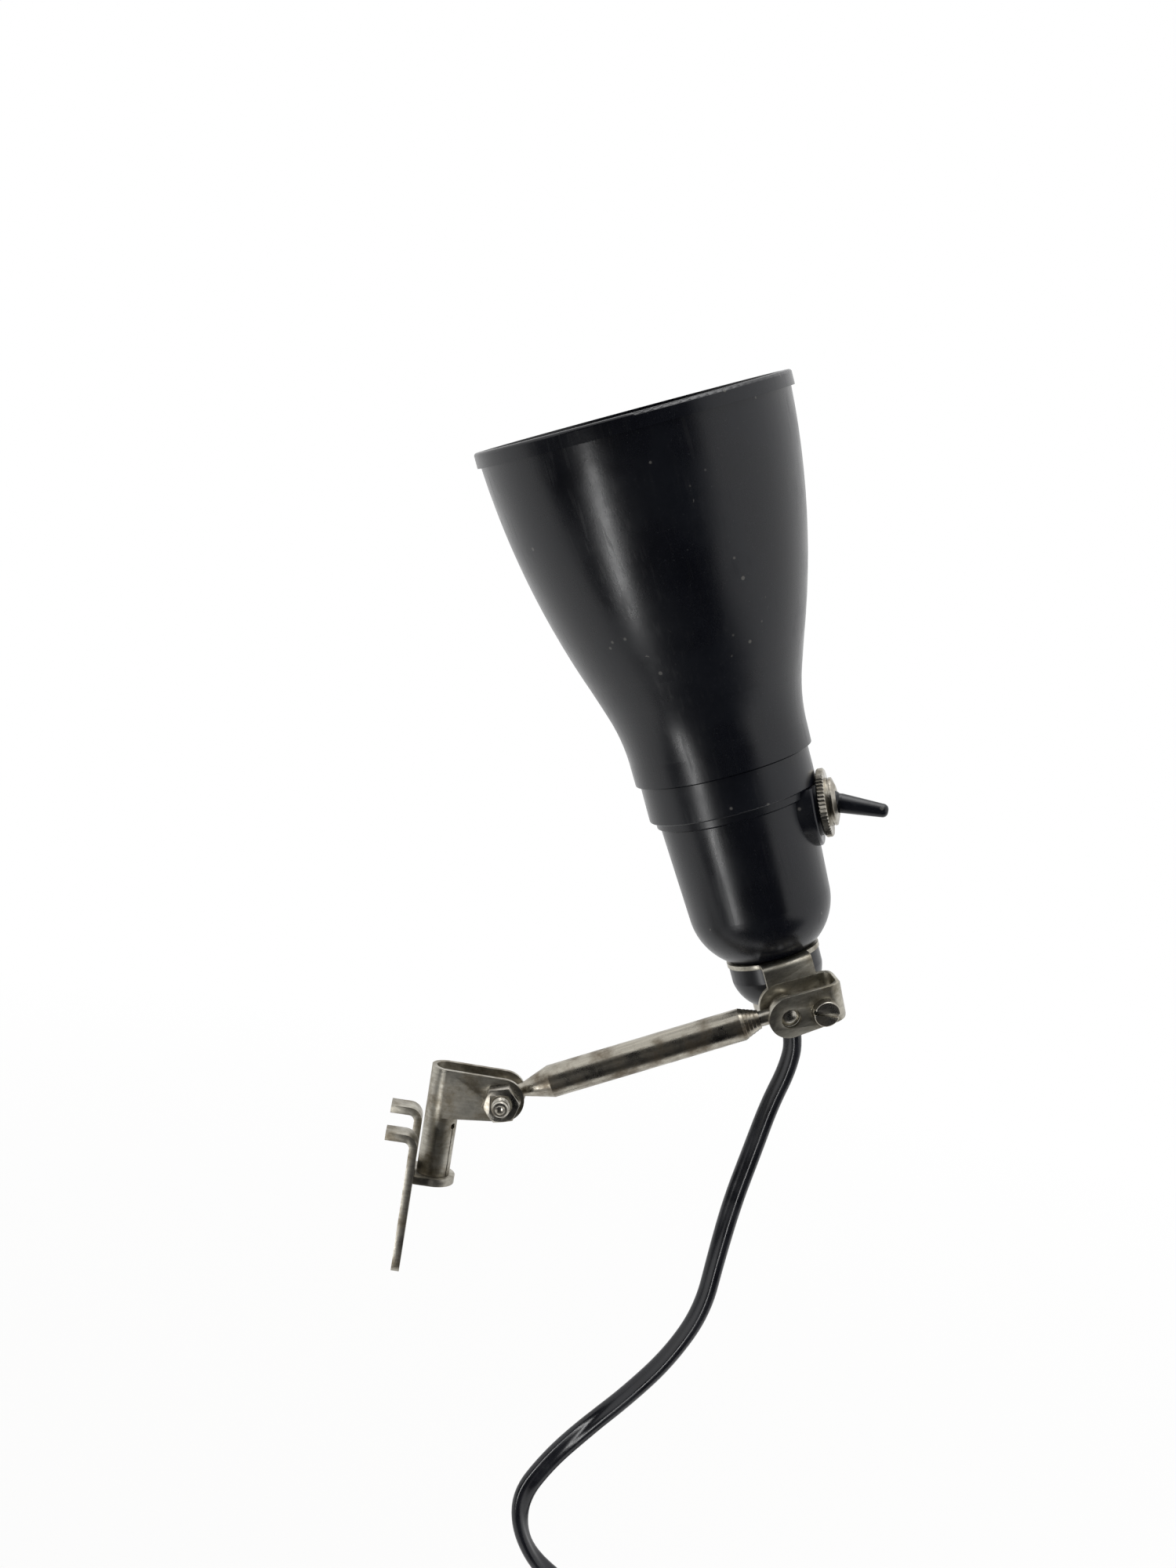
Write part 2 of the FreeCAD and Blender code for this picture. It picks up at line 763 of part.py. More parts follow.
def make_clamp_screw():
    """Slotted cheese head screw through both legs."""
    seat = clamp_spacing / 2 + bracket_sheet / 2
    top = seat + screw_head_height
    screw = turned([
        (0, -seat - screw_tail, 0),
        (screw_radius, -seat - screw_tail, 0.3),
        (screw_radius, seat, 0),
        (screw_head_radius, seat, 0),
        (screw_head_radius, top, screw_head_edge),
        (0, top, 0),
    ])
    slot = Part.makeBox(
        3 * screw_head_radius, slot_width, slot_depth + 1,
        V(-1.5 * screw_head_radius, -slot_width / 2, top - slot_depth),
    )
    slot.rotate(V(0, 0, 0), V(0, 0, 1), slot_turn)
    screw = screw.cut(slot)
    # The screw's X stays along the legs while its Z turns to the way out of them.
    frame = FreeCAD.Rotation(V(-1, 0, 0), leg_up, leg_out, "ZXY")
    screw.Placement = FreeCAD.Placement(screw_at, frame)
    return on_clamp(screw)


def make_nipple():
    """Hollow threaded stem through body, ring and cap."""
    stem = cylinder(nipple_radius, -nipple_down, nipple_up)
    return on_head(stem.cut(cylinder(nipple_bore, -nipple_down - 1, nipple_up + 1)))


def make_nipple_nut():
    nut = hexagon(nipple_nut_flats, body_floor, body_floor + nipple_nut_height, 0)
    return on_head(nut.cut(cylinder(nipple_radius + thread_gap, 0, 20)))


def make_cord_cap():
    """Moulded bowl that screws onto the nipple and hides its end."""
    top = -bracket_sheet
    straight = top - cap_straight
    tip = top - cap_height
    knee = (cap_radius - 0.75, (straight + tip) / 2 + 0.6)
    shell = revolved([
        line((0, top), (cap_radius, top)),
        line((cap_radius, top), (cap_radius, straight)),
        arc((cap_radius, straight), knee, (cap_tip_radius, tip)),
        line((cap_tip_radius, tip), (0, tip)),
        line((0, tip), (0, top)),
    ])
    pocket = turned([
        (nipple_radius + cap_wall, top + 1, 0),
        (cap_radius - cap_wall, top + 1, 0),
        (cap_radius - cap_wall, straight, 1.0),
        (nipple_radius + cap_wall, straight - 2, 0.5),
    ])
    bore = cylinder(nipple_radius + thread_gap, -nipple_down - seat_gap, 0)
    outlet = cylinder(nipple_bore, tip - 1, 0)
    return on_head(shell.cut(pocket).cut(bore).cut(outlet))


def make_cord_ferrule():
    """Metal ring at the cap's tip, where the cord comes out."""
    ferrule = turned([
        (ferrule_bore, ferrule_foot, 0),
        (ferrule_radius, ferrule_foot, ferrule_edge),
        (ferrule_radius, ferrule_top, 0),
        (nipple_bore - thread_gap, ferrule_top, 0),
        (nipple_bore - thread_gap, ferrule_top + ferrule_spigot, 0),
        (ferrule_bore, ferrule_top + ferrule_spigot, 0),
    ])
    return on_head(ferrule)


# ---------------------------------------------------------------- lampholder

switch_turn = FreeCAD.Rotation(V(0, 0, 1), -switch_yaw).multiply(FreeCAD.Rotation(V(0, 1, 0), switch_tilt))
switch_way = switch_turn.multVec(V(1, 0, 0))
switch_down = switch_turn.multVec(V(0, 0, -1))
switch_across = switch_way.cross(switch_down)
switch_centre = V(0, 0, switch_height)


def on_switch(shape):
    """Places a shape that was made along Z from the head's axis along the switch's axis."""
    # Its X then points towards the cord, so that a lever swings in its own XZ plane.
    moved = shape.copy()
    frame = FreeCAD.Rotation(switch_down, switch_across, switch_way, "ZXY")
    moved.Placement = FreeCAD.Placement(switch_centre, frame).multiply(moved.Placement)
    return on_head(moved)


def make_holder_body():
    """Moulded cup with a lip at the seam, a neck for the collar and a switch boss."""
    lip_foot = body_top - body_lip_height
    neck_top = body_top + body_neck_height
    outside = revolved([
        line((0, 0), (body_foot_radius, 0)),
        arc((body_foot_radius, 0), body_knee, body_side),
        line(body_side, (body_radius_top, lip_foot)),
        line((body_radius_top, lip_foot), (body_lip_radius, lip_foot + 0.5)),
        line((body_lip_radius, lip_foot + 0.5), (body_lip_radius, body_top)),
        line((body_lip_radius, body_top), (body_neck_radius, body_top)),
        line((body_neck_radius, body_top), (body_neck_radius, neck_top)),
        line((body_neck_radius, neck_top), (0, neck_top)),
        line((0, neck_top), (0, 0)),
    ])
    start = body_bore - 2
    boss = turned([
        (0, start, 0),
        (boss_radius, start, 0),
        (boss_radius, boss_reach, 0.8),
        (boss_step_radius, boss_reach, 0),
        (boss_step_radius, boss_step_reach, 0.4),
        (0, boss_step_reach, 0),
    ])
    boss = stand_on(boss, switch_way, switch_centre)
    wide = 2 * boss_step_reach
    under_seam = Part.makeBox(2 * wide, 2 * wide, body_top, V(-wide, -wide, 0))
    inside = turned([
        (0, body_floor, 0),
        (body_bore, body_floor, body_inner_corner),
        (body_bore, neck_top + 1, 0),
        (0, neck_top + 1, 0),
    ])
    bushing_hole = cylinder(bushing_radius + thread_gap, 0, 40, switch_way, switch_centre)
    nipple_hole = cylinder(nipple_radius + thread_gap, -1, body_floor + 1)
    body = outside.fuse(boss.common(under_seam)).cut(inside)
    return on_head(body.cut(bushing_hole).cut(nipple_hole).removeSplitter())


def make_shade_collar():
    """Ring that screws over the body's neck, holds the insert down and carries the shade."""
    collar = turned([
        (body_neck_radius + thread_gap, body_top + seat_gap, 0),
        (collar_radius, body_top + seat_gap, 0.4),
        (collar_radius, collar_top, 0.3),
        (spigot_radius, collar_top, 0),
        (spigot_radius, collar_top + spigot_height, 0.4),
        (collar_bore, collar_top + spigot_height, 0.4),
        (collar_bore, collar_top - collar_web, 0),
        (body_neck_radius + thread_gap, collar_top - collar_web, 0),
    ])
    return on_head(collar)


def make_shade():
    """Flared shade: a straight neck, a waist, a cone, a swelling belly and a rim bead."""
    top = shade_flare[1] + rim_height

    def inner(point):
        return (point[0] - shade_wall, point[1])

    neck_bore = spigot_radius + thread_gap
    neck_in = (neck_bore, shade_neck[1] + 0.8)
    foot = (neck_bore, shade_lip[1])
    rim_foot = (rim_radius, shade_flare[1])
    rim_top = (rim_radius, top - rim_edge)
    rim_crest = (rim_radius - rim_edge * 0.3, top - rim_edge * 0.3)
    rim_inner = (rim_radius - rim_edge, top)
    mouth = (shade_flare[0] - shade_wall + 0.5, top)
    shade = revolved([
        line(foot, shade_lip),
        line(shade_lip, shade_neck),
        arc(shade_neck, shade_waist, shade_cone_low),
        line(shade_cone_low, shade_cone_high),
        arc(shade_cone_high, shade_belly, shade_flare),
        line(shade_flare, rim_foot),
        line(rim_foot, rim_top),
        arc(rim_top, rim_crest, rim_inner),
        line(rim_inner, mouth),
        line(mouth, inner(shade_flare)),
        arc(inner(shade_flare), inner(shade_belly), inner(shade_cone_high)),
        line(inner(shade_cone_high), inner(shade_cone_low)),
        arc(inner(shade_cone_low), inner(shade_waist), neck_in),
        line(neck_in, foot),
    ])
    return on_head(shade)


def make_lamp_insert():
    """Insulating insert: a flange that the collar traps and a tower for the lamp's thread."""
    flange_foot = insert_flange_top - insert_flange_height
    insert = turned([
        (0, flange_foot, 0),
        (insert_flange_radius, flange_foot, 0.5),
        (insert_flange_radius, insert_flange_top, 0),
        (insert_tower_radius, insert_flange_top, 0),
        (insert_tower_radius, insert_top, 0.8),
        (socket_bore, insert_top, 0),
        (socket_bore, socket_floor, 0),
        (0, socket_floor, 0),
    ])
    for side in (1, -1):
        screw_hole = cylinder(
            terminal_shank + running_gap, flange_foot - 1, socket_floor + 1,
            centre=V(terminal_back, side * terminal_out, 0),
        )
        insert = insert.cut(screw_hole)
    return on_head(insert)


def make_thread_shell():
    """Thin shell that takes the lamp's cap, with its lip on the tower's top."""
    lip_top = insert_top + seat_gap + shell_wall
    shell = turned([
        (shell_radius - shell_wall, shell_start, 0),
        (shell_radius, shell_start, 0),
        (shell_radius, insert_top + seat_gap, 0),
        (shell_lip_radius, insert_top + seat_gap, 0),
        (shell_lip_radius, lip_top, 0),
        (shell_radius - shell_wall, lip_top, 0.3),
    ])
    return on_head(shell)


def make_centre_contact():
    """Springy tongue on the socket's floor, bent up towards the lamp's tip."""
    foot = socket_floor + tongue_sheet / 2
    tongue_line = [
        (-tongue_reach, foot),
        (-1.0, foot),
        (1.5, foot + tongue_rise),
        (tongue_reach - 1.5, foot + tongue_rise),
    ]
    tongue = prism(
        folded(tongue_line, tongue_sheet, 0.5),
        lambda a, b: V(a, -tongue_width / 2, b),
        V(0, tongue_width, 0),
    )
    return on_head(tongue)


def make_side_contact():
    """Angle strip on the socket's floor that reaches up to the shell's lower edge."""
    foot = socket_floor + tongue_sheet / 2
    strip_line = [
        (side_tongue_radius - 3.5, foot),
        (side_tongue_radius + 2.0, foot),
        (side_tongue_radius + 2.0, shell_start - side_tongue_top),
    ]
    strip = prism(
        folded(strip_line, tongue_sheet, 0.4),
        lambda a, b: V(-a, -tongue_width / 4, b),
        V(0, tongue_width / 2, 0),
    )
    return on_head(strip)


def make_terminal_screws():
    """Two cheese head screws under the insert that hold the leads."""
    head_top = insert_flange_top - insert_flange_height
    screws = []
    for side in (1, -1):
        at = V(terminal_back, side * terminal_out, 0)
        head = cylinder(terminal_radius, head_top - terminal_height, head_top, centre=at)
        shank = cylinder(terminal_shank, head_top - 0.5, socket_floor - 1, centre=at)
        slot = Part.makeBox(
            3 * terminal_radius, 0.8, 0.9,
            at + V(-1.5 * terminal_radius, -0.4, head_top - terminal_height - 0.1),
        )
        screws.append(head.fuse(shank).cut(slot).removeSplitter())
    return on_head(Part.makeCompound(screws))


def make_inner_leads():
    """The flex's two cores, from the ferrule through the nipple up to the terminals."""
    end = insert_flange_top - insert_flange_height - terminal_height - 0.3
    leads = []
    for side in (1, -1):
        route, _ = rounded_route([
            V(side * core_spread, 0, ferrule_foot),
            V(side * core_spread, 0, nipple_up + 5),
            V(terminal_back, side * terminal_out, end - 9),
            V(terminal_back, side * terminal_out, end),
        ])
        leads.append(tube(route, core_radius))
    return on_head(Part.makeCompound(leads))


# ---------------------------------------------------------------- switch


def make_switch_nut():
    """Knurled ring nut that holds the switch in its boss."""
    points = []
    for i in range(2 * knurl_teeth):
        radius = switch_nut_radius - knurl_depth * (i % 2)
        angle = math.pi * i / knurl_teeth
        points.append((radius * math.cos(angle), radius * math.sin(angle), 0))
    knurled = prism(points, lambda a, b: V(a, b, boss_step_reach), V(0, 0, switch_nut_height))
    blank = turned([
        (bushing_radius + thread_gap, boss_step_reach, 0),
        (switch_nut_radius - knurl_edge, boss_step_reach, 0),
        (switch_nut_radius, boss_step_reach + knurl_edge, 0),
        (switch_nut_radius, switch_seat - knurl_edge, 0),
        (switch_nut_radius - knurl_edge, switch_seat, 0),
        (bushing_radius + thread_gap, switch_seat, 0),
    ])
    return on_switch(knurled.common(blank))


def make_switch_bushing():
    """Threaded bushing with two flanges, a groove between them and a seat for the lever."""
    seat = lever_ball_radius + running_gap
    flange_top = switch_seat + bushing_flange
    groove_top = flange_top + bushing_groove
    bushing = turned([
        (bushing_bore, bushing_start, 0),
        (bushing_radius, bushing_start, 0.4),
        (bushing_radius, switch_seat, 0),
        (bushing_flange_radius, switch_seat, 0),
        (bushing_flange_radius, flange_top, 0),
        (bushing_groove_radius, flange_top, 0),
        (bushing_groove_radius, groove_top, 0),
        (bushing_flange_radius, groove_top, 0),
        (bushing_flange_radius, bushing_rim, 0.25),
        (seat + bushing_mouth + 0.3, switch_face, 0),
        (seat + bushing_mouth, switch_face, 0),
        (seat, lever_pivot + 0.4, 0),
        (seat, lever_pivot - 2.0, 0),
        (bushing_bore, lever_pivot - 3.2, 0),
    ])
    pin_hole = cylinder(
        pivot_pin_radius + running_gap, -pivot_pin_length / 2 - 0.1, pivot_pin_length / 2 + 0.1,
        V(0, 1, 0), V(0, 0, lever_pivot),
    )
    return on_switch(bushing.cut(pin_hole))


def make_pivot_pin():
    """Pin across the bushing that the lever turns on."""
    pin = cylinder(pivot_pin_radius, -pivot_pin_length / 2, pivot_pin_length / 2, V(0, 1, 0))
    pin.translate(V(0, 0, lever_pivot))
    return on_switch(pin)


def make_toggle_lever():
    """Tapered lever with a ball at its pivot and a short tail inside the bushing."""
    root = 2.0
    tip = lever_length
    lever = turned([
        (0, root - 1.0, 0),
        (lever_root_radius - 0.2, root - 1.0, 0),
        (lever_root_radius, root + 0.6, 0),
        (lever_tip_radius, tip, lever_tip_radius * 0.85),
        (0, tip, 0),
    ])
    tail = cylinder(lever_tail_radius, -lever_tail, 0)
    hole = cylinder(pivot_pin_radius + running_gap, -10, 10, V(0, 1, 0))
    lever = lever.fuse(Part.makeSphere(lever_ball_radius)).fuse(tail).cut(hole).removeSplitter()
    lever.rotate(V(0, 0, 0), V(0, 1, 0), lever_rest)
    lever.translate(V(0, 0, lever_pivot))
    return on_switch(lever)


def make_switch_case():
    """Closed case behind the bushing that holds the switch's contacts."""
    case = turned([
        (0, switch_case_start, 0),
        (switch_case_radius, switch_case_start, 1.0),
        (switch_case_radius, bushing_start, 0.5),
        (0, bushing_start, 0),
    ])
    return on_switch(case)


# ---------------------------------------------------------------- cord, coil and plug

cord_radius = cord_width / 2
head_down = lean_turn.multVec(V(0, 0, -1))
cord_exit = head_origin - head_down * ferrule_foot
coil_out = coil_mean_radius + coil_pitch * coil_turns / coil_layers / 2
coil_in = coil_mean_radius - coil_pitch * coil_turns / coil_layers / 2
layer_turn = 2 * math.pi * coil_turns / coil_layers


def coil_state(angle):
    """Radius and layer height of the winding at an angle from its start."""
    ease = math.pi / 2
    reversal = round(angle / layer_turn)
    layer = min(int(angle / layer_turn), coil_layers - 1)
    inward = layer % 2 == 0
    into_layer = angle - layer * layer_turn
    drop = coil_pitch * into_layer / (2 * math.pi)
    radius = coil_out - drop if inward else coil_in + drop
    height = layer * coil_layer_pitch
    off = angle - reversal * layer_turn
    if 0 < reversal < coil_layers and abs(off) < ease:
        bow = coil_pitch / (2 * math.pi) * (off * off / (2 * ease) + ease / 2)
        radius = coil_in + bow if reversal % 2 else coil_out - bow
        part = (off + ease) / (2 * ease)
        height = (reversal - 1 + part * part * (3 - 2 * part)) * coil_layer_pitch
    return radius, height


def coil_point(angle, centre):
    radius, height = coil_state(angle)
    return centre + V(radius * math.sin(angle), height, radius * math.cos(angle))


def coil_way(angle, centre):
    step = 1e-4
    low = max(angle - step, 0)
    high = min(angle + step, 2 * math.pi * coil_turns)
    return (coil_point(high, centre) - coil_point(low, centre)).normalize()


def coil_layout():
    """Where the winding's centre lies so that it starts in line with the free stretch."""
    start_way = coil_way(0, V(0, 0, 0))
    last = V(*cord_points[-1])
    meeting = last + start_way * cord_last_run
    start = meeting + start_way * cord_width
    centre = start - V(0, 0, coil_out)
    return meeting, start, centre


def coil_gap(centre):
    """The least gap between turns, measured on points along the winding."""
    steps = int(coil_turns * 120)
    points = [coil_point(2 * math.pi * coil_turns * i / steps, centre) for i in range(steps + 1)]
    least = 1e9
    for i in range(0, steps, 3):
        for j in range(i + 60, steps, 2):
            least = min(least, (points[i] - points[j]).Length)
    return least - cord_width


def make_cord_lead():
    """The free stretch: out of the ferrule, down and round to the coil."""
    meeting, _, _ = coil_layout()
    points = [cord_exit, cord_exit + head_down * cord_first_run]
    points += [V(*p) for p in cord_points]
    points.append(meeting)
    route, radii = rounded_route(points)
    lead = tube(route, cord_radius)
    expected = math.pi * cord_radius**2 * route.Length
    print("cord radii", [round(r, 1) for r in radii])
    print("cord length", round(route.Length, 1), "volume share", round(lead.Volume / expected, 4))
    return lead


def make_cord_coil():
    """The put-away length: one tube that spirals in and out in four layers."""
    meeting, start, centre = coil_layout()
    edges = [Part.LineSegment(meeting, start).toShape()]
    quarters = int(round(coil_turns * 4))
    for i in range(quarters):
        low = math.pi / 2 * i
        high = math.pi / 2 * (i + 1)
        edges += biarc(
            coil_point(low, centre), coil_way(low, centre), coil_point(high, centre), coil_way(high, centre)
        )
    end = coil_point(math.pi / 2 * quarters, centre)
    end_way = coil_way(math.pi / 2 * quarters, centre)
    edges.append(Part.LineSegment(end, end + end_way * cord_width).toShape())
    route = Part.Wire(edges)
    coil = tube(route, cord_radius)
    expected = math.pi * cord_radius**2 * route.Length
    print("coil length", round(route.Length, 1), "volume share", round(coil.Volume / expected, 4))
    print("coil least gap", round(coil_gap(centre), 2))
    return coil


def coil_end():
    """Where the coil's straight end stops, and its direction."""
    _, _, centre = coil_layout()
    angle = 2 * math.pi * coil_turns
    way = coil_way(angle, centre)
    return coil_point(angle, centre) + way * cord_width, way


def make_coil_tie():
    """Strap round all the turns at one side of the coil."""
    _, _, centre = coil_layout()
    low = coil_in - cord_radius - tie_slack
    high = coil_out + cord_radius + tie_slack
    back = (coil_layers - 1) * coil_layer_pitch + cord_radius + tie_slack
    front = -cord_radius - tie_slack

    def loop(extra):
        return [
            (low - extra, front - extra, tie_corner + extra),
            (high + extra, front - extra, tie_corner + extra),
            (high + extra, back + extra, tie_corner + extra),
            (low - extra, back + extra, tie_corner + extra),
        ]

    def place(a, b):
        return V(-tie_width / 2, b, a)

    way = V(tie_width, 0, 0)
    strap = prism(loop(tie_sheet), place, way).cut(prism(loop(0.0), place, way))
    strap.rotate(V(0, 0, 0), V(0, 1, 0), tie_turn)
    strap.translate(centre)
    return strap


def on_plug(shape):
    """Places a shape that was made along Z from the coil's end along its direction."""
    end, way = coil_end()
    return stand_on(shape, way, end)


def make_plug_body():
    """Moulded flat plug with a tapered strain relief."""
    relief = Part.makeCone(plug_relief_radius, plug_body_depth / 2 - 1.5, plug_relief_length + 1)
    half_width = plug_body_width / 2
    half_depth = plug_body_depth / 2
    body = prism(
        [
            (-half_width, -half_depth, plug_edge),
            (half_width, -half_depth, plug_edge),
            (half_width, half_depth, plug_edge),
            (-half_width, half_depth, plug_edge),
        ],
        lambda a, b: V(b, a, plug_relief_length),
        V(0, 0, plug_body_length),
    )
    shoulder = turned([
        (0, plug_relief_length, 0),
        (half_depth, plug_relief_length, 0),
        (half_width + 1, plug_relief_length + 12, 0),
        (half_width + 1, plug_relief_length + plug_body_length, 0),
        (0, plug_relief_length + plug_body_length, 0),
    ])
    plug = body.common(shoulder).fuse(relief)
    for side in (1, -1):
        hole = cylinder(
            plug_pin_radius, plug_relief_length + plug_body_length - 10, 200,
            centre=V(0, side * pin_spacing / 2, 0),
        )
        plug = plug.cut(hole)
    return on_plug(plug.removeSplitter())


def make_plug_pins():
    """Two round pins with rounded tips, let into the plug's face."""
    face = plug_relief_length + plug_body_length
    pins = []
    for side in (1, -1):
        pin = turned([
            (0, face - 9, 0),
            (plug_pin_radius - thread_gap, face - 9, 0),
            (plug_pin_radius - thread_gap, face + plug_pin_length, 1.5),
            (0, face + plug_pin_length, 0),
        ])
        pin.translate(V(0, side * pin_spacing / 2, 0))
        pins.append(pin)
    return on_plug(Part.makeCompound(pins))


# ---------------------------------------------------------------- the whole lamp

makers = {
    "hook_plate": make_hook_plate,
    "swivel_pin": make_swivel_pin,
    "sleeve_clevis": make_sleeve_clevis,
    "hinge_bolt": make_hinge_bolt,
    "hinge_nut": make_hinge_nut,
    "arm_rod": make_arm_rod,
    "ball_stud": make_ball_stud,
    "clamp_bracket": make_clamp_bracket,
    "clamp_screw": make_clamp_screw,
    "nipple": make_nipple,
    "nipple_nut": make_nipple_nut,
    "cord_cap": make_cord_cap,
    "cord_ferrule": make_cord_ferrule,
    "holder_body": make_holder_body,
    "shade_collar": make_shade_collar,
    "shade": make_shade,
    "lamp_insert": make_lamp_insert,
    "thread_shell": make_thread_shell,
    "centre_contact": make_centre_contact,
    "side_contact": make_side_contact,
    "terminal_screws": make_terminal_screws,
    "inner_leads": make_inner_leads,
    "switch_nut": make_switch_nut,
    "switch_bushing": make_switch_bushing,
    "pivot_pin": make_pivot_pin,
    "toggle_lever": make_toggle_lever,
    "switch_case": make_switch_case,
    "cord_lead": make_cord_lead,
    "cord_coil": make_cord_coil,
    "coil_tie": make_coil_tie,
    "plug_body": make_plug_body,
    "plug_pins": make_plug_pins,
}

# The plate and its pin stay put; the rest was drawn square to the plate and is swung on the pin.
fixed_pieces = ("hook_plate", "swivel_pin")

os.makedirs("parts", exist_ok=True)
for name, maker in makers.items():
    piece = maker()
    if name not in fixed_pieces:
        piece.rotate(V(sleeve_x, 0, 0), V(0, 0, 1), arm_swing)
    piece.exportStep(f"parts/{name}.step")
    box = piece.BoundBox
    print(
        f"{name:16s} solids {len(piece.Solids)} valid {piece.isValid()} volume {piece.Volume:9.1f}"
        f"  x {box.XMin:7.1f} {box.XMax:7.1f}  y {box.YMin:7.1f} {box.YMax:7.1f}"
        f"  z {box.ZMin:7.1f} {box.ZMax:7.1f}"
    )
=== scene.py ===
# %% [markdown]
# This lesson dresses a small hook-on lamp. Its sheet steel plate hangs on the edge of a board, a sleeve
# swivels on the plate's pin, a turned rod is hinged to the sleeve, and a ball clamp carries a black
# moulded lampholder with a flared shade. The measured solids come first, as a fixed frame.

# %% Load the measured solids
import math

import bmesh
import bpy
from mathutils import Matrix, Vector


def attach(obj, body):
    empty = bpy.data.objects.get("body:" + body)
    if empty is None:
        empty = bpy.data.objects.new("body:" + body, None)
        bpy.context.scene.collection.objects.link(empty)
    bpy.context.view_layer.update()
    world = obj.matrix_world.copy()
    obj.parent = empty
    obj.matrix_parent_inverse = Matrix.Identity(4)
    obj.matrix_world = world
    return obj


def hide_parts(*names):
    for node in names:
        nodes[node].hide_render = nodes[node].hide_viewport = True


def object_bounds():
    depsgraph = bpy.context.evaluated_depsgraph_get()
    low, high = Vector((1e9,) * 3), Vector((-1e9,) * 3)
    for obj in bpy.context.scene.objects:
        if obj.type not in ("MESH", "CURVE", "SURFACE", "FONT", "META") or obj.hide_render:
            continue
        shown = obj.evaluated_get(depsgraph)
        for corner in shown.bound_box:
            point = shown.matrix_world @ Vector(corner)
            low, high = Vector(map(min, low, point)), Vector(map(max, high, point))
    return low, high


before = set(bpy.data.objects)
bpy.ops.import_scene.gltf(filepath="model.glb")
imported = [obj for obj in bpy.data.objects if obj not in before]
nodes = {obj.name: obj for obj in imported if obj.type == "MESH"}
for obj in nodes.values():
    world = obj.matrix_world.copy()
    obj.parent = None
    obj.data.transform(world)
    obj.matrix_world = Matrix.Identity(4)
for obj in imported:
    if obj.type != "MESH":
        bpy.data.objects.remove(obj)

cad_box = [list(corner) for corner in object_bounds()]
mm = 0.001
print("solids:", len(nodes), "box:", cad_box)

# %% [markdown]
# The photograph was taken with a normal lens from slightly above, and the camera was a little rolled.
# A camera can be aimed with constraints, but three plain vectors say exactly how it stands: the way it
# looks back, its right hand and its up. The focal length follows from the picture's long side.
# The plate stands square to the frame, and the sleeve with all it carries is swung on the swivel pin by
# a small angle. Camera, flex and head were all measured square to the arm, so one matrix swings them.

# %% Camera and the arm's swing
swivel_pin_place = Vector((7.15, 0.0, 0.0)) * mm
arm_swing = math.radians(-2.5)
swing = (
    Matrix.Translation(swivel_pin_place)
    @ Matrix.Rotation(arm_swing, 4, "Z")
    @ Matrix.Translation(-swivel_pin_place)
)
aim = Vector((31.85, 0.0, 118.5)) * mm
camera_distance = 625 * mm
camera_height = math.radians(11.0)
camera_roll = math.radians(9.2)

back = Vector((0, -math.cos(camera_height), math.sin(camera_height)))
level_right = Vector((1, 0, 0))
level_up = back.cross(level_right)
right = level_right * math.cos(camera_roll) + level_up * math.sin(camera_roll)
up = back.cross(right)

camera_data = bpy.data.cameras.new("camera")
camera_data.sensor_width = 36.0
camera_data.lens = 54.9
camera = bpy.data.objects.new("camera", camera_data)
bpy.context.collection.objects.link(camera)
stand = Matrix.Translation(aim + back * camera_distance) @ Matrix((right, up, back)).transposed().to_4x4()
camera.matrix_world = swing @ stand
bpy.context.scene.camera = camera
print("camera at", [round(x, 3) for x in camera.location])

# %% [markdown]
# Everything beyond the ball leans with the head. The head's own frame starts at the clamp bracket's
# ring, with its third axis along the shade. Keeping one matrix for it lets each piece be modelled
# upright at the origin and then laid in place in one step.

# %% Frame of the lamp's head
arm_angle = math.radians(26.8)
arm_length = 79.15
rod_way = Vector((math.cos(arm_angle), 0, math.sin(arm_angle)))
hinge = Vector((22.7, 0, 30.7)) * mm
ball = hinge + rod_way * arm_length * mm
head_turn = Matrix.Rotation(math.radians(-1.3), 3, "X") @ Matrix.Rotation(math.radians(-24.0), 3, "Y")
clamp_turn = head_turn @ Matrix.Rotation(math.radians(12.5), 3, "Z")
head_origin = ball - clamp_turn @ Vector((-4.15, -17.2, -12.54)) * mm
square_head = Matrix.Translation(head_origin) @ head_turn.to_4x4()
head = swing @ square_head
print("head stands at", [round(x, 4) for x in head.translation])

# %% [markdown]
# The flex is a flat twin lead, 5.8 mm wide and about half as thick. It hangs free from the ferrule in
# one long bend, and the length that the picture doesn't show is wound into a neat coil below it.
# A curve with few points bends as a soft lead does, so the free stretch is a spline through the same
# points that the solid follows, and the coil's turns are more points of that spline.

# %% Route of the flex
flex_width = 5.8 * mm
square_exit = square_head @ (Vector((0, 0, -16.05)) * mm)
flex_down = head_turn @ Vector((0, 0, -1))
free_points = [
    (98.5, 18.0, 45.7),
    (95.3, 18.2, 34.3),
    (92.9, 18.3, 20.4),
    (90.1, 18.5, 5.0),
    (88.4, 18.7, -11.6),
    (87.2, 18.9, -28.7),
    (80.2, 19.1, -44.2),
    (70.5, 19.3, -57.7),
    (60.2, 19.5, -69.7),
    (51.3, 19.7, -81.6),
    (45.0, 19.8, -94.0),
    (47.7, 20.0, -107.5),
    (57.5, 20.0, -117.1),
    (68.5, 20.0, -122.3),
]

coil_turns = 8.25
coil_layers = 4
coil_pitch = 6.35 * mm
coil_layer_pitch = 6.4 * mm
coil_middle = 30.1 * mm
coil_spread = coil_pitch * coil_turns / coil_layers / 2
layer_turn = 2 * math.pi * coil_turns / coil_layers


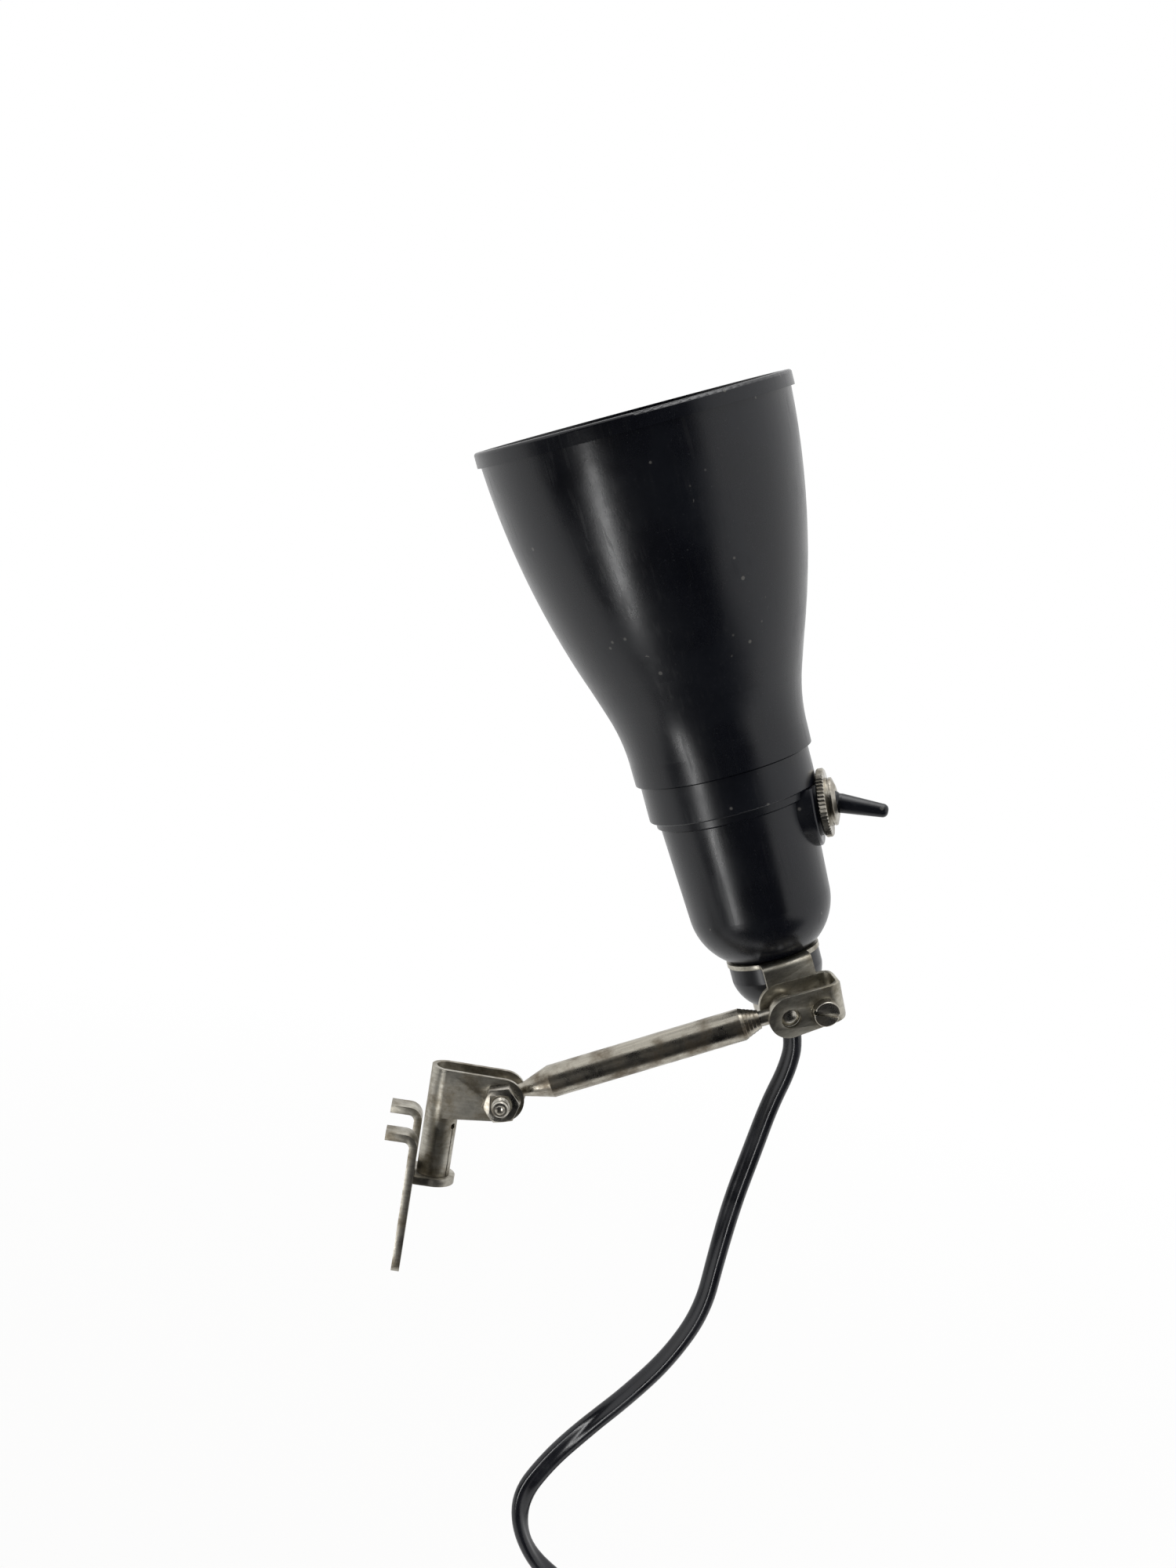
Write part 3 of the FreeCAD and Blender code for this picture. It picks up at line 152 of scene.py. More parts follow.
def coil_point(angle):
    """A point of the winding, from the coil's centre: it spirals in, climbs a layer and spirals out."""
    ease = math.pi / 2
    layer = min(int(angle / layer_turn), coil_layers - 1)
    drop = coil_pitch * (angle - layer * layer_turn) / (2 * math.pi)
    inward = layer % 2 == 0
    radius = coil_middle + (coil_spread - drop if inward else drop - coil_spread)
    height = layer * coil_layer_pitch
    reversal = round(angle / layer_turn)
    off = angle - reversal * layer_turn
    if 0 < reversal < coil_layers and abs(off) < ease:
        bow = coil_pitch / (2 * math.pi) * (off * off / (2 * ease) + ease / 2) - coil_spread
        radius = coil_middle + (bow if reversal % 2 else -bow)
        part = (off + ease) / (2 * ease)
        height = (reversal - 1 + part * part * (3 - 2 * part)) * coil_layer_pitch
    return Vector((radius * math.sin(angle), height, radius * math.cos(angle)))


def coil_way(angle):
    step = 1e-4
    low, high = max(angle - step, 0), min(angle + step, 2 * math.pi * coil_turns)
    return (coil_point(high) - coil_point(low)).normalized()


last_turn = 2 * math.pi * coil_turns
meeting = Vector(free_points[-1]) * mm + coil_way(0) * 9.8 * mm
coil_start = meeting + coil_way(0) * flex_width
coil_centre = coil_start - coil_point(0)
coil_end = coil_centre + coil_point(last_turn) + coil_way(last_turn) * flex_width

route = [square_exit, square_exit + flex_down * 9 * mm]
route += [Vector(p) * mm for p in free_points]
route.append(meeting)
# A spline's turns run inside its points, so the points of the turns stand out by as much.
points_per_turn = 16
stand_out = 1 / (0.75 + 0.25 * math.cos(2 * math.pi / points_per_turn))
for i in range(int(coil_turns * points_per_turn) + 1):
    turn_point = coil_point(2 * math.pi * i / points_per_turn)
    route.append(coil_centre + Vector((turn_point.x * stand_out, turn_point.y, turn_point.z * stand_out)))
route.append(coil_end)
route = [swing @ place for place in route]

spline_data = bpy.data.curves.new("flex_line", "CURVE")
spline_data.dimensions = "3D"
spline_data.resolution_u = 8
spline = spline_data.splines.new("NURBS")
spline.points.add(len(route) - 1)
for point, place in zip(spline.points, route):
    point.co = (*place, 1)
spline.order_u = 3
spline.use_endpoint_u = True
spline_object = bpy.data.objects.new("flex_line", spline_data)
bpy.context.collection.objects.link(spline_object)
bpy.context.view_layer.update()
line_mesh = bpy.data.meshes.new_from_object(spline_object)
flex_line = [vertex.co.copy() for vertex in line_mesh.vertices]
bpy.data.objects.remove(spline_object)
flex_length = sum((b - a).length for a, b in zip(flex_line, flex_line[1:]))
print("flex:", len(route), "points,", round(flex_length, 3), "m long")

# %% [markdown]
# The real flex shows two round ridges with a groove between them, and it twists as it hangs, so that
# now its flat side and now its edge faces the viewer. A bevelled curve is always round, so the flex is
# a mesh instead: one figure-eight section, carried along the line and rolled by a few twist values.

# %% Flex with two ridges
flex_thickness = 3.2 * mm
ridge_offset = (flex_width - flex_thickness) / 2
# Distance along the flex in millimetres, and how far its flat side is turned from the viewer.
flex_twist = [
    (0, 35), (14, 50), (55, 34), (85, 47), (105, 54), (125, 48),
    (162, 2), (186, -78), (203, -35), (226, -60), (245, -90),
]


def twist_at(travelled):
    for (low, angle), (high, next_angle) in zip(flex_twist, flex_twist[1:]):
        if travelled <= high:
            share = max(0.0, (travelled - low) / (high - low))
            share = share * share * (3 - 2 * share)
            return math.radians(angle + (next_angle - angle) * share)
    return math.radians(flex_twist[-1][1])


section = []
for side in (1, -1):
    for step in range(9):
        angle = math.radians(-118 + 236 * step / 8) + (0 if side > 0 else math.pi)
        section.append((
            side * ridge_offset + flex_thickness / 2 * math.cos(angle),
            flex_thickness / 2 * math.sin(angle),
        ))

flex_mesh = bpy.data.meshes.new("flex")
flex = bpy.data.objects.new("flex", flex_mesh)
bpy.context.collection.objects.link(flex)
work = bmesh.new()
rings = []
travelled = 0.0
for i, place in enumerate(flex_line):
    ahead = flex_line[min(i + 1, len(flex_line) - 1)]
    behind = flex_line[max(i - 1, 0)]
    way = (ahead - behind).normalized()
    travelled += (place - behind).length / mm
    across = Vector((0, 1, 0)).cross(way).normalized()
    deep = way.cross(across)
    roll = twist_at(travelled)
    wide = across * math.cos(roll) + deep * math.sin(roll)
    thick = way.cross(wide)
    rings.append([work.verts.new(place + wide * a + thick * b) for a, b in section])
count = len(section)
for low, high in zip(rings, rings[1:]):
    for k in range(count):
        face = work.faces.new((low[k], low[(k + 1) % count], high[(k + 1) % count], high[k]))
        face.smooth = True
work.faces.new(rings[0])
work.faces.new(rings[-1][::-1])
bmesh.ops.recalc_face_normals(work, faces=work.faces)
work.to_mesh(flex_mesh)
work.free()
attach(flex, "head")
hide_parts("cord_lead", "cord_coil")
print("flex has", len(flex_mesh.polygons), "faces")

# %% [markdown]
# The plate, the sleeve, the clamp bracket and the small hard parts come out of the tools with edges that
# plating and handling have softened. A bevel of a tenth of a millimetre catches the light as thin bright
# lines, which say sheet metal more than any colour does. Each piece is a copy of the measured solid:
# its doubled points are merged, its flat triangles are dissolved to whole faces, and only its sharp
# edges get the bevel.

# %% Softened edges on the metal parts
def choose(thing):
    """Makes one object the only selected and the active one."""
    bpy.ops.object.select_all(action="DESELECT")
    thing.select_set(True)
    bpy.context.view_layer.objects.active = thing


def finish_modifiers(thing):
    choose(thing)
    for modifier in list(thing.modifiers):
        bpy.ops.object.modifier_apply(modifier=modifier.name)


def softened(name, body, width):
    """A copy of a solid with a small bevel on its sharp edges, which replaces the plain solid."""
    copy = bpy.data.objects.new(name + "_softened", nodes[name].data.copy())
    bpy.context.collection.objects.link(copy)
    choose(copy)
    bpy.ops.object.mode_set(mode="EDIT")
    bpy.ops.mesh.select_all(action="SELECT")
    bpy.ops.mesh.customdata_custom_splitnormals_clear()
    bpy.ops.mesh.remove_doubles(threshold=0.004 * mm)
    bpy.ops.mesh.dissolve_limited(angle_limit=math.radians(0.4))
    bpy.ops.mesh.normals_make_consistent(inside=False)
    bpy.ops.object.mode_set(mode="OBJECT")
    bevel = copy.modifiers.new("softened", "BEVEL")
    bevel.width = width
    bevel.segments = 2
    bevel.limit_method = "ANGLE"
    bevel.angle_limit = math.radians(38)
    bevel.miter_outer = "MITER_ARC"
    finish_modifiers(copy)
    bpy.ops.object.shade_smooth_by_angle(angle=math.radians(32))
    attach(copy, body)
    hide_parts(name)
    print(copy.name, "faces:", len(copy.data.polygons))
    return copy


dressed = {}
for name, body, width in (
    ("hook_plate", "bracket", 0.22 * mm),
    ("sleeve_clevis", "sleeve", 0.16 * mm),
    ("clamp_bracket", "head", 0.16 * mm),
    ("hinge_nut", "sleeve", 0.12 * mm),
    ("clamp_screw", "head", 0.14 * mm),
):
    dressed[name] = softened(name, body, width)

# %% [markdown]
# The hinge bolt is an M5 bolt whose end stands a little past its nut. Its thread shows there, so it is
# modelled: a single tooth is drawn as a chain of points, the Screw modifier sweeps it round and along
# by one pitch a turn, and a spun core with a dimpled end closes the bolt. Drawing the profile with
# extrusions from one point keeps it exact, where a cylinder with sculpted grooves would not be a thread.

# %% Hinge bolt with its thread
def drawn(name, points):
    """An open chain of edges, extruded point by point in the XZ plane from (radius, height) pairs."""
    bpy.ops.object.select_all(action="DESELECT")
    bpy.ops.mesh.primitive_plane_add(size=mm)
    chain = bpy.context.object
    chain.name = name
    bpy.ops.object.mode_set(mode="EDIT")
    bpy.ops.mesh.select_all(action="SELECT")
    bpy.ops.mesh.merge(type="CENTER")
    places = [Vector((radius, 0, height)) for radius, height in points]
    bpy.ops.transform.translate(value=places[0])
    for here, following in zip(places, places[1:]):
        bpy.ops.mesh.extrude_region_move(TRANSFORM_OT_translate={"value": following - here})
    bpy.ops.object.mode_set(mode="OBJECT")
    return chain


def spun(name, points, steps=96):
    """A lathe shape from (radius, height) pairs that start and end on the axis."""
    chain = drawn(name, points)
    bpy.ops.object.mode_set(mode="EDIT")
    bpy.ops.mesh.select_all(action="SELECT")
    bpy.ops.mesh.spin(steps=steps, angle=2 * math.pi, center=(0, 0, 0), axis=(0, 0, 1))
    bpy.ops.mesh.select_all(action="SELECT")
    bpy.ops.mesh.remove_doubles(threshold=0.002 * mm)
    bpy.ops.mesh.normals_make_consistent(inside=False)
    bpy.ops.object.mode_set(mode="OBJECT")
    return chain


def screwed(name, tooth, pitch, turns, steps=72):
    """A helix whose tooth is one pitch high, from (radius, height) pairs."""
    chain = drawn(name, tooth)
    winding = chain.modifiers.new("thread", "SCREW")
    winding.angle = 2 * math.pi
    winding.screw_offset = pitch
    winding.iterations = turns
    winding.steps = winding.render_steps = steps
    winding.use_merge_vertices = True
    winding.merge_threshold = 0.002 * mm
    finish_modifiers(chain)
    bpy.ops.object.mode_set(mode="EDIT")
    bpy.ops.mesh.select_all(action="SELECT")
    bpy.ops.mesh.remove_doubles(threshold=0.002 * mm)
    bpy.ops.mesh.normals_make_consistent(inside=False)
    bpy.ops.object.mode_set(mode="OBJECT")
    return chain


def joined(pieces, name, place):
    """Joins pieces into one object at the origin, with their place in the mesh."""
    bpy.ops.object.select_all(action="DESELECT")
    for piece in pieces:
        piece.select_set(True)
    bpy.context.view_layer.objects.active = pieces[0]
    bpy.ops.object.join()
    whole = bpy.context.object
    whole.name = name
    whole.data.transform(place)
    bpy.ops.object.shade_smooth_by_angle(angle=math.radians(35))
    return whole


sleeve_half = 4.45 * mm
nut_height = 4.5 * mm
bolt_tail = 2 * sleeve_half + nut_height + 3.2 * mm
bolt_radius = 2.5 * mm
bolt_head_flats = 8.0 * mm
bolt_head_height = 3.5 * mm
thread_pitch = 0.8 * mm
thread_depth = 0.26 * mm
thread_turns = 8
thread_start = bolt_tail - 0.45 * mm - thread_turns * thread_pitch
root = bolt_radius - thread_depth
bolt_core = spun("bolt_core", [
    (0.0, -0.5 * mm),
    (bolt_radius, -0.5 * mm),
    (bolt_radius, thread_start - 0.3 * mm),
    (root, thread_start + 0.1 * mm),
    (root, bolt_tail - 0.35 * mm),
    (root - 0.35 * mm, bolt_tail),
    (1.35 * mm, bolt_tail),
    (0.9 * mm, bolt_tail - 0.45 * mm),
    (0.0, bolt_tail - 0.62 * mm),
])
bolt_thread = screwed("bolt_thread", [
    (root - 0.02 * mm, thread_start),
    (root, thread_start + 0.06 * mm),
    (bolt_radius - 0.03 * mm, thread_start + 0.34 * mm),
    (bolt_radius - 0.03 * mm, thread_start + 0.44 * mm),
    (root, thread_start + 0.74 * mm),
    (root - 0.02 * mm, thread_start + thread_pitch),
], thread_pitch, thread_turns - 1)
bpy.ops.mesh.primitive_cylinder_add(
    vertices=6, radius=bolt_head_flats / math.sqrt(3), depth=bolt_head_height,
    location=(0, 0, -bolt_head_height / 2),
)
bolt_head = bpy.context.object
bpy.ops.object.transform_apply(location=True)
head_bevel = bolt_head.modifiers.new("corners", "BEVEL")
head_bevel.width = 0.25 * mm
head_bevel.segments = 2
finish_modifiers(bolt_head)
# The bolt's head seats on the sleeve's far face.
bolt_foot = Vector((22.7, 4.45, 30.7)) * mm
across_arm = swing @ Matrix.Translation(bolt_foot) @ Matrix.Rotation(math.pi / 2, 4, "X")
hinge_bolt = joined([bolt_core, bolt_thread, bolt_head], "threaded_bolt", across_arm)
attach(hinge_bolt, "sleeve")
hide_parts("hinge_bolt")
dressed["hinge_bolt"] = hinge_bolt
print("bolt faces:", len(hinge_bolt.data.polygons), "thread turns:", thread_turns)

# %% [markdown]
# The lamp's cap screws into a shell of thin brass, rolled with a round thread of about 3.6 mm pitch.
# One wave of that thread is drawn from a cosine and swept as a helix, then given the sheet's thickness.
# A spun lip rests on the ceramic's top, as the pressed edge of a real shell does.

# %% Rolled thread shell
cap_pitch = 3.62 * mm
wave_points = 12
shell_foot = 53.9 * mm
shell_turns = 4
shell_wave = screwed("shell_wave", [
    (
        12.95 * mm + 0.38 * mm * math.cos(2 * math.pi * i / wave_points),
        shell_foot + cap_pitch * i / wave_points,
    )
    for i in range(wave_points + 1)
], cap_pitch, shell_turns, steps=64)
sheet = shell_wave.modifiers.new("sheet", "SOLIDIFY")
sheet.thickness = 0.3 * mm
sheet.offset = -1.0
finish_modifiers(shell_wave)
lip_top = 74.45 * mm
shell_lip = spun("shell_lip", [
    (13.05 * mm, lip_top - 2.9 * mm),
    (13.4 * mm, lip_top - 2.9 * mm),
    (13.4 * mm, lip_top - 0.33 * mm),
    (15.0 * mm, lip_top - 0.33 * mm),
    (15.0 * mm, lip_top),
    (13.3 * mm, lip_top),
    (13.05 * mm, lip_top - 0.25 * mm),
    (13.05 * mm, lip_top - 2.9 * mm),
])
thread_shell = joined([shell_wave, shell_lip], "rolled_shell", head)
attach(thread_shell, "head")
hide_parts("thread_shell")
dressed["thread_shell"] = thread_shell
print("shell faces:", len(thread_shell.data.polygons))

# %% [markdown]
# The finishes come next. Colours are given as the hex values of a picture editor, which are in sRGB,
# and Blender wants linear light, so one function turns them. A second small function adds a shader
# node with its settings and its links, and every finish below is written with it.

# %% Colour and node helpers
def colour(hex_value):
    channels = [int(hex_value[i:i + 2], 16) / 255 for i in (0, 2, 4)]
    return [c / 12.92 if c <= 0.04045 else ((c + 0.055) / 1.055) ** 2.4 for c in channels] + [1.0]


def add(material, kind, settings=None, **links):
    """Adds a node of a kind; a setting is a property or an input's value, a link is an output."""
    tree = material.node_tree
    made = tree.nodes.new(kind)
    for name, value in (settings or {}).items():
        if isinstance(name, int) or name in made.inputs:
            made.inputs[name].default_value = value
        else:
            setattr(made, name, value)
    for name, output in links.items():
        socket = made.inputs[int(name[1:])] if name[0] == "_" else made.inputs[name.replace("__", " ")]
        tree.links.new(output, socket)
    return made


def new_material(name):
    material = bpy.data.materials.new(name)
    material.use_nodes = True
    material.node_tree.nodes.clear()
    return material


def ramp(node, stops):
    """Sets a colour ramp's stops from (position, hex) pairs."""
    band = node.color_ramp
    while len(band.elements) > 1:
        band.elements.remove(band.elements[-1])
    band.elements[0].position, band.elements[0].color = stops[0][0], colour(stops[0][1])
    for place, value in stops[1:]:
        band.elements.new(place).color = colour(value)


# %% [markdown]
# Old black phenolic, moulded in a polished tool, ages to a slate black. It keeps a soft gloss, but
# decades of dusting leave fine scuffs, pale specks and cloudy patches where the polish is gone.
# So the roughness wanders in large clouds, specks a fraction of a millimetre wide lift the colour, a few
# rare nicks show the duller grey beneath, and a very fine bump breaks the reflections' edges.

# %% Finish: moulded phenolic
def finish_phenolic(name, axis_turn):
    m = new_material(name)
    place = add(m, "ShaderNodeTexCoord")
    turned = add(m, "ShaderNodeMapping", {"Rotation": axis_turn}, Vector=place.outputs["Object"])
    clouds = add(
        m, "ShaderNodeTexNoise", {"Scale": 45.0, "Detail": 5.0, "Roughness": 0.6},
        Vector=turned.outputs["Vector"],
    )
    specks = add(
        m, "ShaderNodeTexNoise", {"Scale": 1900.0, "Detail": 2.0, "Roughness": 0.7},
        Vector=turned.outputs["Vector"],
    )
    long_way = add(
        m, "ShaderNodeMapping", {"Scale": (900.0, 900.0, 60.0)}, Vector=turned.outputs["Vector"],
    )
    scuffs = add(
        m, "ShaderNodeTexNoise", {"Scale": 1.0, "Detail": 3.0}, Vector=long_way.outputs["Vector"],
    )
    body = add(m, "ShaderNodeValToRGB", Fac=clouds.outputs["Fac"])
    ramp(body, [(0.3, "08090e"), (0.62, "0d0f15")])
    dust = add(
        m, "ShaderNodeMapRange", {"From Min": 0.66, "From Max": 0.78, "To Max": 0.3},
        Value=specks.outputs["Fac"],
    )
    base = add(
        m, "ShaderNodeMixRGB", {"Color2": colour("4a4b4d")},
        Fac=dust.outputs["Result"], Color1=body.outputs["Color"],
    )
    cells = add(
        m, "ShaderNodeTexVoronoi", {"Scale": 220.0, "Randomness": 1.0}, Vector=turned.outputs["Vector"],
    )
    nick = add(
        m, "ShaderNodeMapRange", {"From Min": 0.14, "From Max": 0.09}, Value=cells.outputs["Distance"],
    )
    rare = add(m, "ShaderNodeMath", {"operation": "GREATER_THAN", 1: 0.6}, _0=clouds.outputs["Fac"])
    chipped = add(
        m, "ShaderNodeMath", {"operation": "MULTIPLY"},
        _0=nick.outputs["Result"], _1=rare.outputs["Value"],
    )
    worn = add(
        m, "ShaderNodeMixRGB", {"Color2": colour("454442")},
        Fac=chipped.outputs["Value"], Color1=base.outputs["Color"],
    )
    gloss = add(
        m, "ShaderNodeMapRange", {"From Min": 0.35, "From Max": 0.7, "To Min": 0.22, "To Max": 0.34},
        Value=clouds.outputs["Fac"],
    )
    rub = add(
        m, "ShaderNodeMapRange", {"From Min": 0.55, "From Max": 0.8, "To Max": 0.12},
        Value=scuffs.outputs["Fac"],
    )
    rough = add(
        m, "ShaderNodeMath", {"operation": "ADD"}, _0=gloss.outputs["Result"], _1=rub.outputs["Result"],
    )
    bump = add(
        m, "ShaderNodeBump", {"Strength": 0.25, "Distance": 0.00004}, Height=specks.outputs["Fac"],
    )
    surface = add(
        m, "ShaderNodeBsdfPrincipled", {"IOR": 1.44},
        Base__Color=worn.outputs["Color"], Roughness=rough.outputs["Value"], Normal=bump.outputs["Normal"],
    )
    add(m, "ShaderNodeOutputMaterial", Surface=surface.outputs["BSDF"])
    return m


head_lean = (0.0, math.radians(24.0), 0.0)
phenolic = finish_phenolic("moulded_phenolic_satin", head_lean)
lever_phenolic = finish_phenolic("moulded_phenolic_lever", head_lean)

# %% [markdown]
# The plate, sleeve and clamp are pressed from steel strip and nickel plated. Thin nickel dulls to a
# warm grey, and brown stains grow where the steel shows through. The rolled strip also keeps a faint
# grain. Clouds choose between bright and stained metal, in colour and in roughness together.

# %% Finish: nickel plated steel
def finish_nickel(name, bright, stained, grain_scale, turn=(0.0, 0.0, 0.0), rough_low=0.33, rough_high=0.5):
    m = new_material(name)
    place = add(m, "ShaderNodeTexCoord")
    turned = add(m, "ShaderNodeMapping", {"Rotation": turn}, Vector=place.outputs["Object"])
    clouds = add(
        m, "ShaderNodeTexNoise", {"Scale": 160.0, "Detail": 6.0, "Roughness": 0.62},
        Vector=turned.outputs["Vector"],
    )
    pits = add(
        m, "ShaderNodeTexNoise", {"Scale": 2300.0, "Detail": 3.0, "Roughness": 0.7},
        Vector=turned.outputs["Vector"],
    )
    stretched = add(m, "ShaderNodeMapping", {"Scale": grain_scale}, Vector=turned.outputs["Vector"])
    grain = add(
        m, "ShaderNodeTexNoise", {"Scale": 1.0, "Detail": 4.0, "Roughness": 0.65},
        Vector=stretched.outputs["Vector"],
    )
    tone = add(m, "ShaderNodeValToRGB", Fac=clouds.outputs["Fac"])
    ramp(tone, [(0.36, stained), (0.56, bright)])
    streak = add(
        m, "ShaderNodeMapRange", {"From Min": 0.3, "From Max": 0.7, "To Min": 0.72, "To Max": 1.1},
        Value=grain.outputs["Fac"],
    )
    streaked = add(
        m, "ShaderNodeMixRGB", {"blend_type": "MULTIPLY", "Fac": 1.0},
        Color1=tone.outputs["Color"], Color2=streak.outputs["Result"],
    )
    pit = add(
        m, "ShaderNodeMapRange", {"From Min": 0.64, "From Max": 0.76, "To Max": 0.75},
        Value=pits.outputs["Fac"],
    )
    base = add(
        m, "ShaderNodeMixRGB", {"Color2": colour("453d33")},
        Fac=pit.outputs["Result"], Color1=streaked.outputs["Color"],
    )
    rough = add(
        m, "ShaderNodeMapRange",
        {"From Min": 0.35, "From Max": 0.65, "To Min": rough_high, "To Max": rough_low},
        Value=clouds.outputs["Fac"],
    )
    both = add(
        m, "ShaderNodeMath", {"operation": "ADD"}, _0=grain.outputs["Fac"], _1=pits.outputs["Fac"],
    )
    bump = add(
        m, "ShaderNodeBump", {"Strength": 0.35, "Distance": 0.00005}, Height=both.outputs["Value"],
    )
    surface = add(
        m, "ShaderNodeBsdfPrincipled", {"Metallic": 1.0},
        Base__Color=base.outputs["Color"], Roughness=rough.outputs["Result"], Normal=bump.outputs["Normal"],
    )
    add(m, "ShaderNodeOutputMaterial", Surface=surface.outputs["BSDF"])
    return m


rod_turn = (0.0, math.radians(27.1), 0.0)
sheet_nickel = finish_nickel("nickel_plated_sheet", "b3afa4", "837b6c", (350.0, 350.0, 1500.0))
# The clamp's nickel is a copy set a little lighter than the sheet's, in bright and stained tone alike:
# painted light, standing in for the light that the dark card keeps off its front.
clamp_nickel_painted_lighter = finish_nickel("nickel_plated_clamp_painted_lighter", "b5b1a5", "8a8476", (250.0, 1400.0, 1400.0), head_lean)
rod_nickel = finish_nickel(
    "nickel_plated_turned_rod", "b2ada1", "7c7365", (60.0, 1300.0, 1300.0), rod_turn, 0.2, 0.42,
)
screw_nickel = finish_nickel(
    "nickel_plated_screws", "bfbbb1", "938b7c", (900.0, 900.0, 900.0), rough_low=0.22, rough_high=0.4,
)

# %% [markdown]
# The remaining finishes are small: soft black vinyl on the flex and plug, glazed ceramic and thin
# brass inside the holder, and brown phenolic for the switch's case. Each still varies a little in
# colour and roughness, because no worn surface is even.

# %% Finish: the simpler materials
def finish_plain(name, low, high, rough_low, rough_high, scale, metallic=0.0, ior=1.5, bump_depth=0.00003):
    m = new_material(name)
    place = add(m, "ShaderNodeTexCoord")
    clouds = add(
        m, "ShaderNodeTexNoise", {"Scale": scale, "Detail": 4.0, "Roughness": 0.6},
        Vector=place.outputs["Object"],
    )
    fine = add(
        m, "ShaderNodeTexNoise", {"Scale": scale * 12, "Detail": 2.0}, Vector=place.outputs["Object"],
    )
    tone = add(m, "ShaderNodeValToRGB", Fac=clouds.outputs["Fac"])
    ramp(tone, [(0.35, low), (0.65, high)])
    rough = add(
        m, "ShaderNodeMapRange",
        {"From Min": 0.35, "From Max": 0.65, "To Min": rough_low, "To Max": rough_high},
        Value=clouds.outputs["Fac"],
    )
    bump = add(
        m, "ShaderNodeBump", {"Strength": 0.3, "Distance": bump_depth}, Height=fine.outputs["Fac"],
    )
    surface = add(
        m, "ShaderNodeBsdfPrincipled", {"Metallic": metallic, "IOR": ior},
        Base__Color=tone.outputs["Color"], Roughness=rough.outputs["Result"], Normal=bump.outputs["Normal"],
    )
    add(m, "ShaderNodeOutputMaterial", Surface=surface.outputs["BSDF"])
    return m


flex_vinyl = finish_plain("soft_vinyl_flex", "0f1015", "1a1b20", 0.2, 0.3, 120.0)
plug_vinyl = finish_plain("moulded_vinyl_plug", "1d1e20", "27282b", 0.42, 0.55, 200.0)
strap_rubber = finish_plain("rubber_strap", "232323", "2d2c2b", 0.55, 0.7, 260.0)
core_vinyl = finish_plain("vinyl_core_insulation", "1c1c1e", "2a2a2b", 0.4, 0.5, 260.0)
glazed_ceramic = finish_plain("glazed_steatite", "d8cfba", "e6dfcd", 0.18, 0.3, 90.0, ior=1.6)
thin_brass = finish_plain("stamped_brass", "a8864c", "c8a765", 0.25, 0.42, 180.0, metallic=1.0)
case_phenolic = finish_plain("brown_phenolic_case", "3a241a", "4a3022", 0.45, 0.58, 140.0)
pin_nickel = finish_plain("nickel_plated_brass_pins", "a7a49c", "c4c1b9", 0.2, 0.34, 150.0, metallic=1.0)

# %% Give each solid its finish
finishes = {
    "hook_plate": sheet_nickel,
    "swivel_pin": screw_nickel,
    "sleeve_clevis": sheet_nickel,
    "hinge_bolt": screw_nickel,
    "hinge_nut": screw_nickel,
    "arm_rod": rod_nickel,
    "ball_stud": screw_nickel,
    "clamp_bracket": clamp_nickel_painted_lighter,
    "clamp_screw": screw_nickel,
    "nipple": screw_nickel,
    "nipple_nut": screw_nickel,
    "cord_cap": phenolic,
    "cord_ferrule": screw_nickel,
    "holder_body": phenolic,
    "shade_collar": phenolic,
    "shade": phenolic,
    "lamp_insert": glazed_ceramic,
    "thread_shell": thin_brass,
    "centre_contact": thin_brass,
    "side_contact": thin_brass,
    "terminal_screws": thin_brass,
    "inner_leads": core_vinyl,
    "switch_nut": screw_nickel,
    "switch_bushing": screw_nickel,
    "pivot_pin": screw_nickel,
    "toggle_lever": lever_phenolic,
    "switch_case": case_phenolic,
    "coil_tie": strap_rubber,
    "plug_body": plug_vinyl,
    "plug_pins": pin_nickel,
}
for name, material in finishes.items():
    wearer = dressed.get(name, nodes[name])
    wearer.data.materials.clear()
    wearer.data.materials.append(material)
flex_mesh.materials.append(flex_vinyl)
print("finished solids:", len(finishes))

# %% [markdown]
# The studio is plain: a pale floor, soft light from both sides and from above, and an even white world.
# Black gloss shows what it faces, so a dark card stands behind the camera, as a photographer would put
# it, and keeps the middle of the shade black while its sides pick up the white. A narrow strip of light
# stands close to the lamp, low and to its left, and draws the long soft highlight. The floor turns white
# away from the lamp's shadow, so that no horizon shows.

# %% Studio
def area_light(name, place, size, power):
    """An area light that faces the lamp."""
    data = bpy.data.lights.new(name, "AREA")
    data.shape = "RECTANGLE"
    data.size, data.size_y = size
    data.energy = power
    lamp = bpy.data.objects.new(name, data)
    bpy.context.collection.objects.link(lamp)
    lamp.location = place
    lamp.rotation_euler = (aim - Vector(place)).to_track_quat("-Z", "Y").to_euler()
    return lamp


window_light = area_light("window_light", (-0.20, -0.36, -0.12), (0.05, 0.3), 0.75)
window_light.visible_camera = False
side_light = area_light("side_light", (1.2, -0.5, 0.5), (0.5, 0.9), 7.0)
side_light.visible_glossy = False
area_light("top_light", (0.1, 0.1, 1.3), (0.9, 0.9), 9.0)

card_cloth = new_material("dark_card_cloth")
weave_place = add(card_cloth, "ShaderNodeTexCoord")
weave = add(card_cloth, "ShaderNodeTexNoise", {"Scale": 60.0}, Vector=weave_place.outputs["Object"])
weave_tone = add(card_cloth, "ShaderNodeValToRGB", Fac=weave.outputs["Fac"])
ramp(weave_tone, [(0.3, "141416"), (0.7, "1f1f22")])
card_face = add(card_cloth, "ShaderNodeBsdfDiffuse", Color=weave_tone.outputs["Color"])
add(card_cloth, "ShaderNodeOutputMaterial", Surface=card_face.outputs["BSDF"])
floor_height = cad_box[0][2] - 0.002
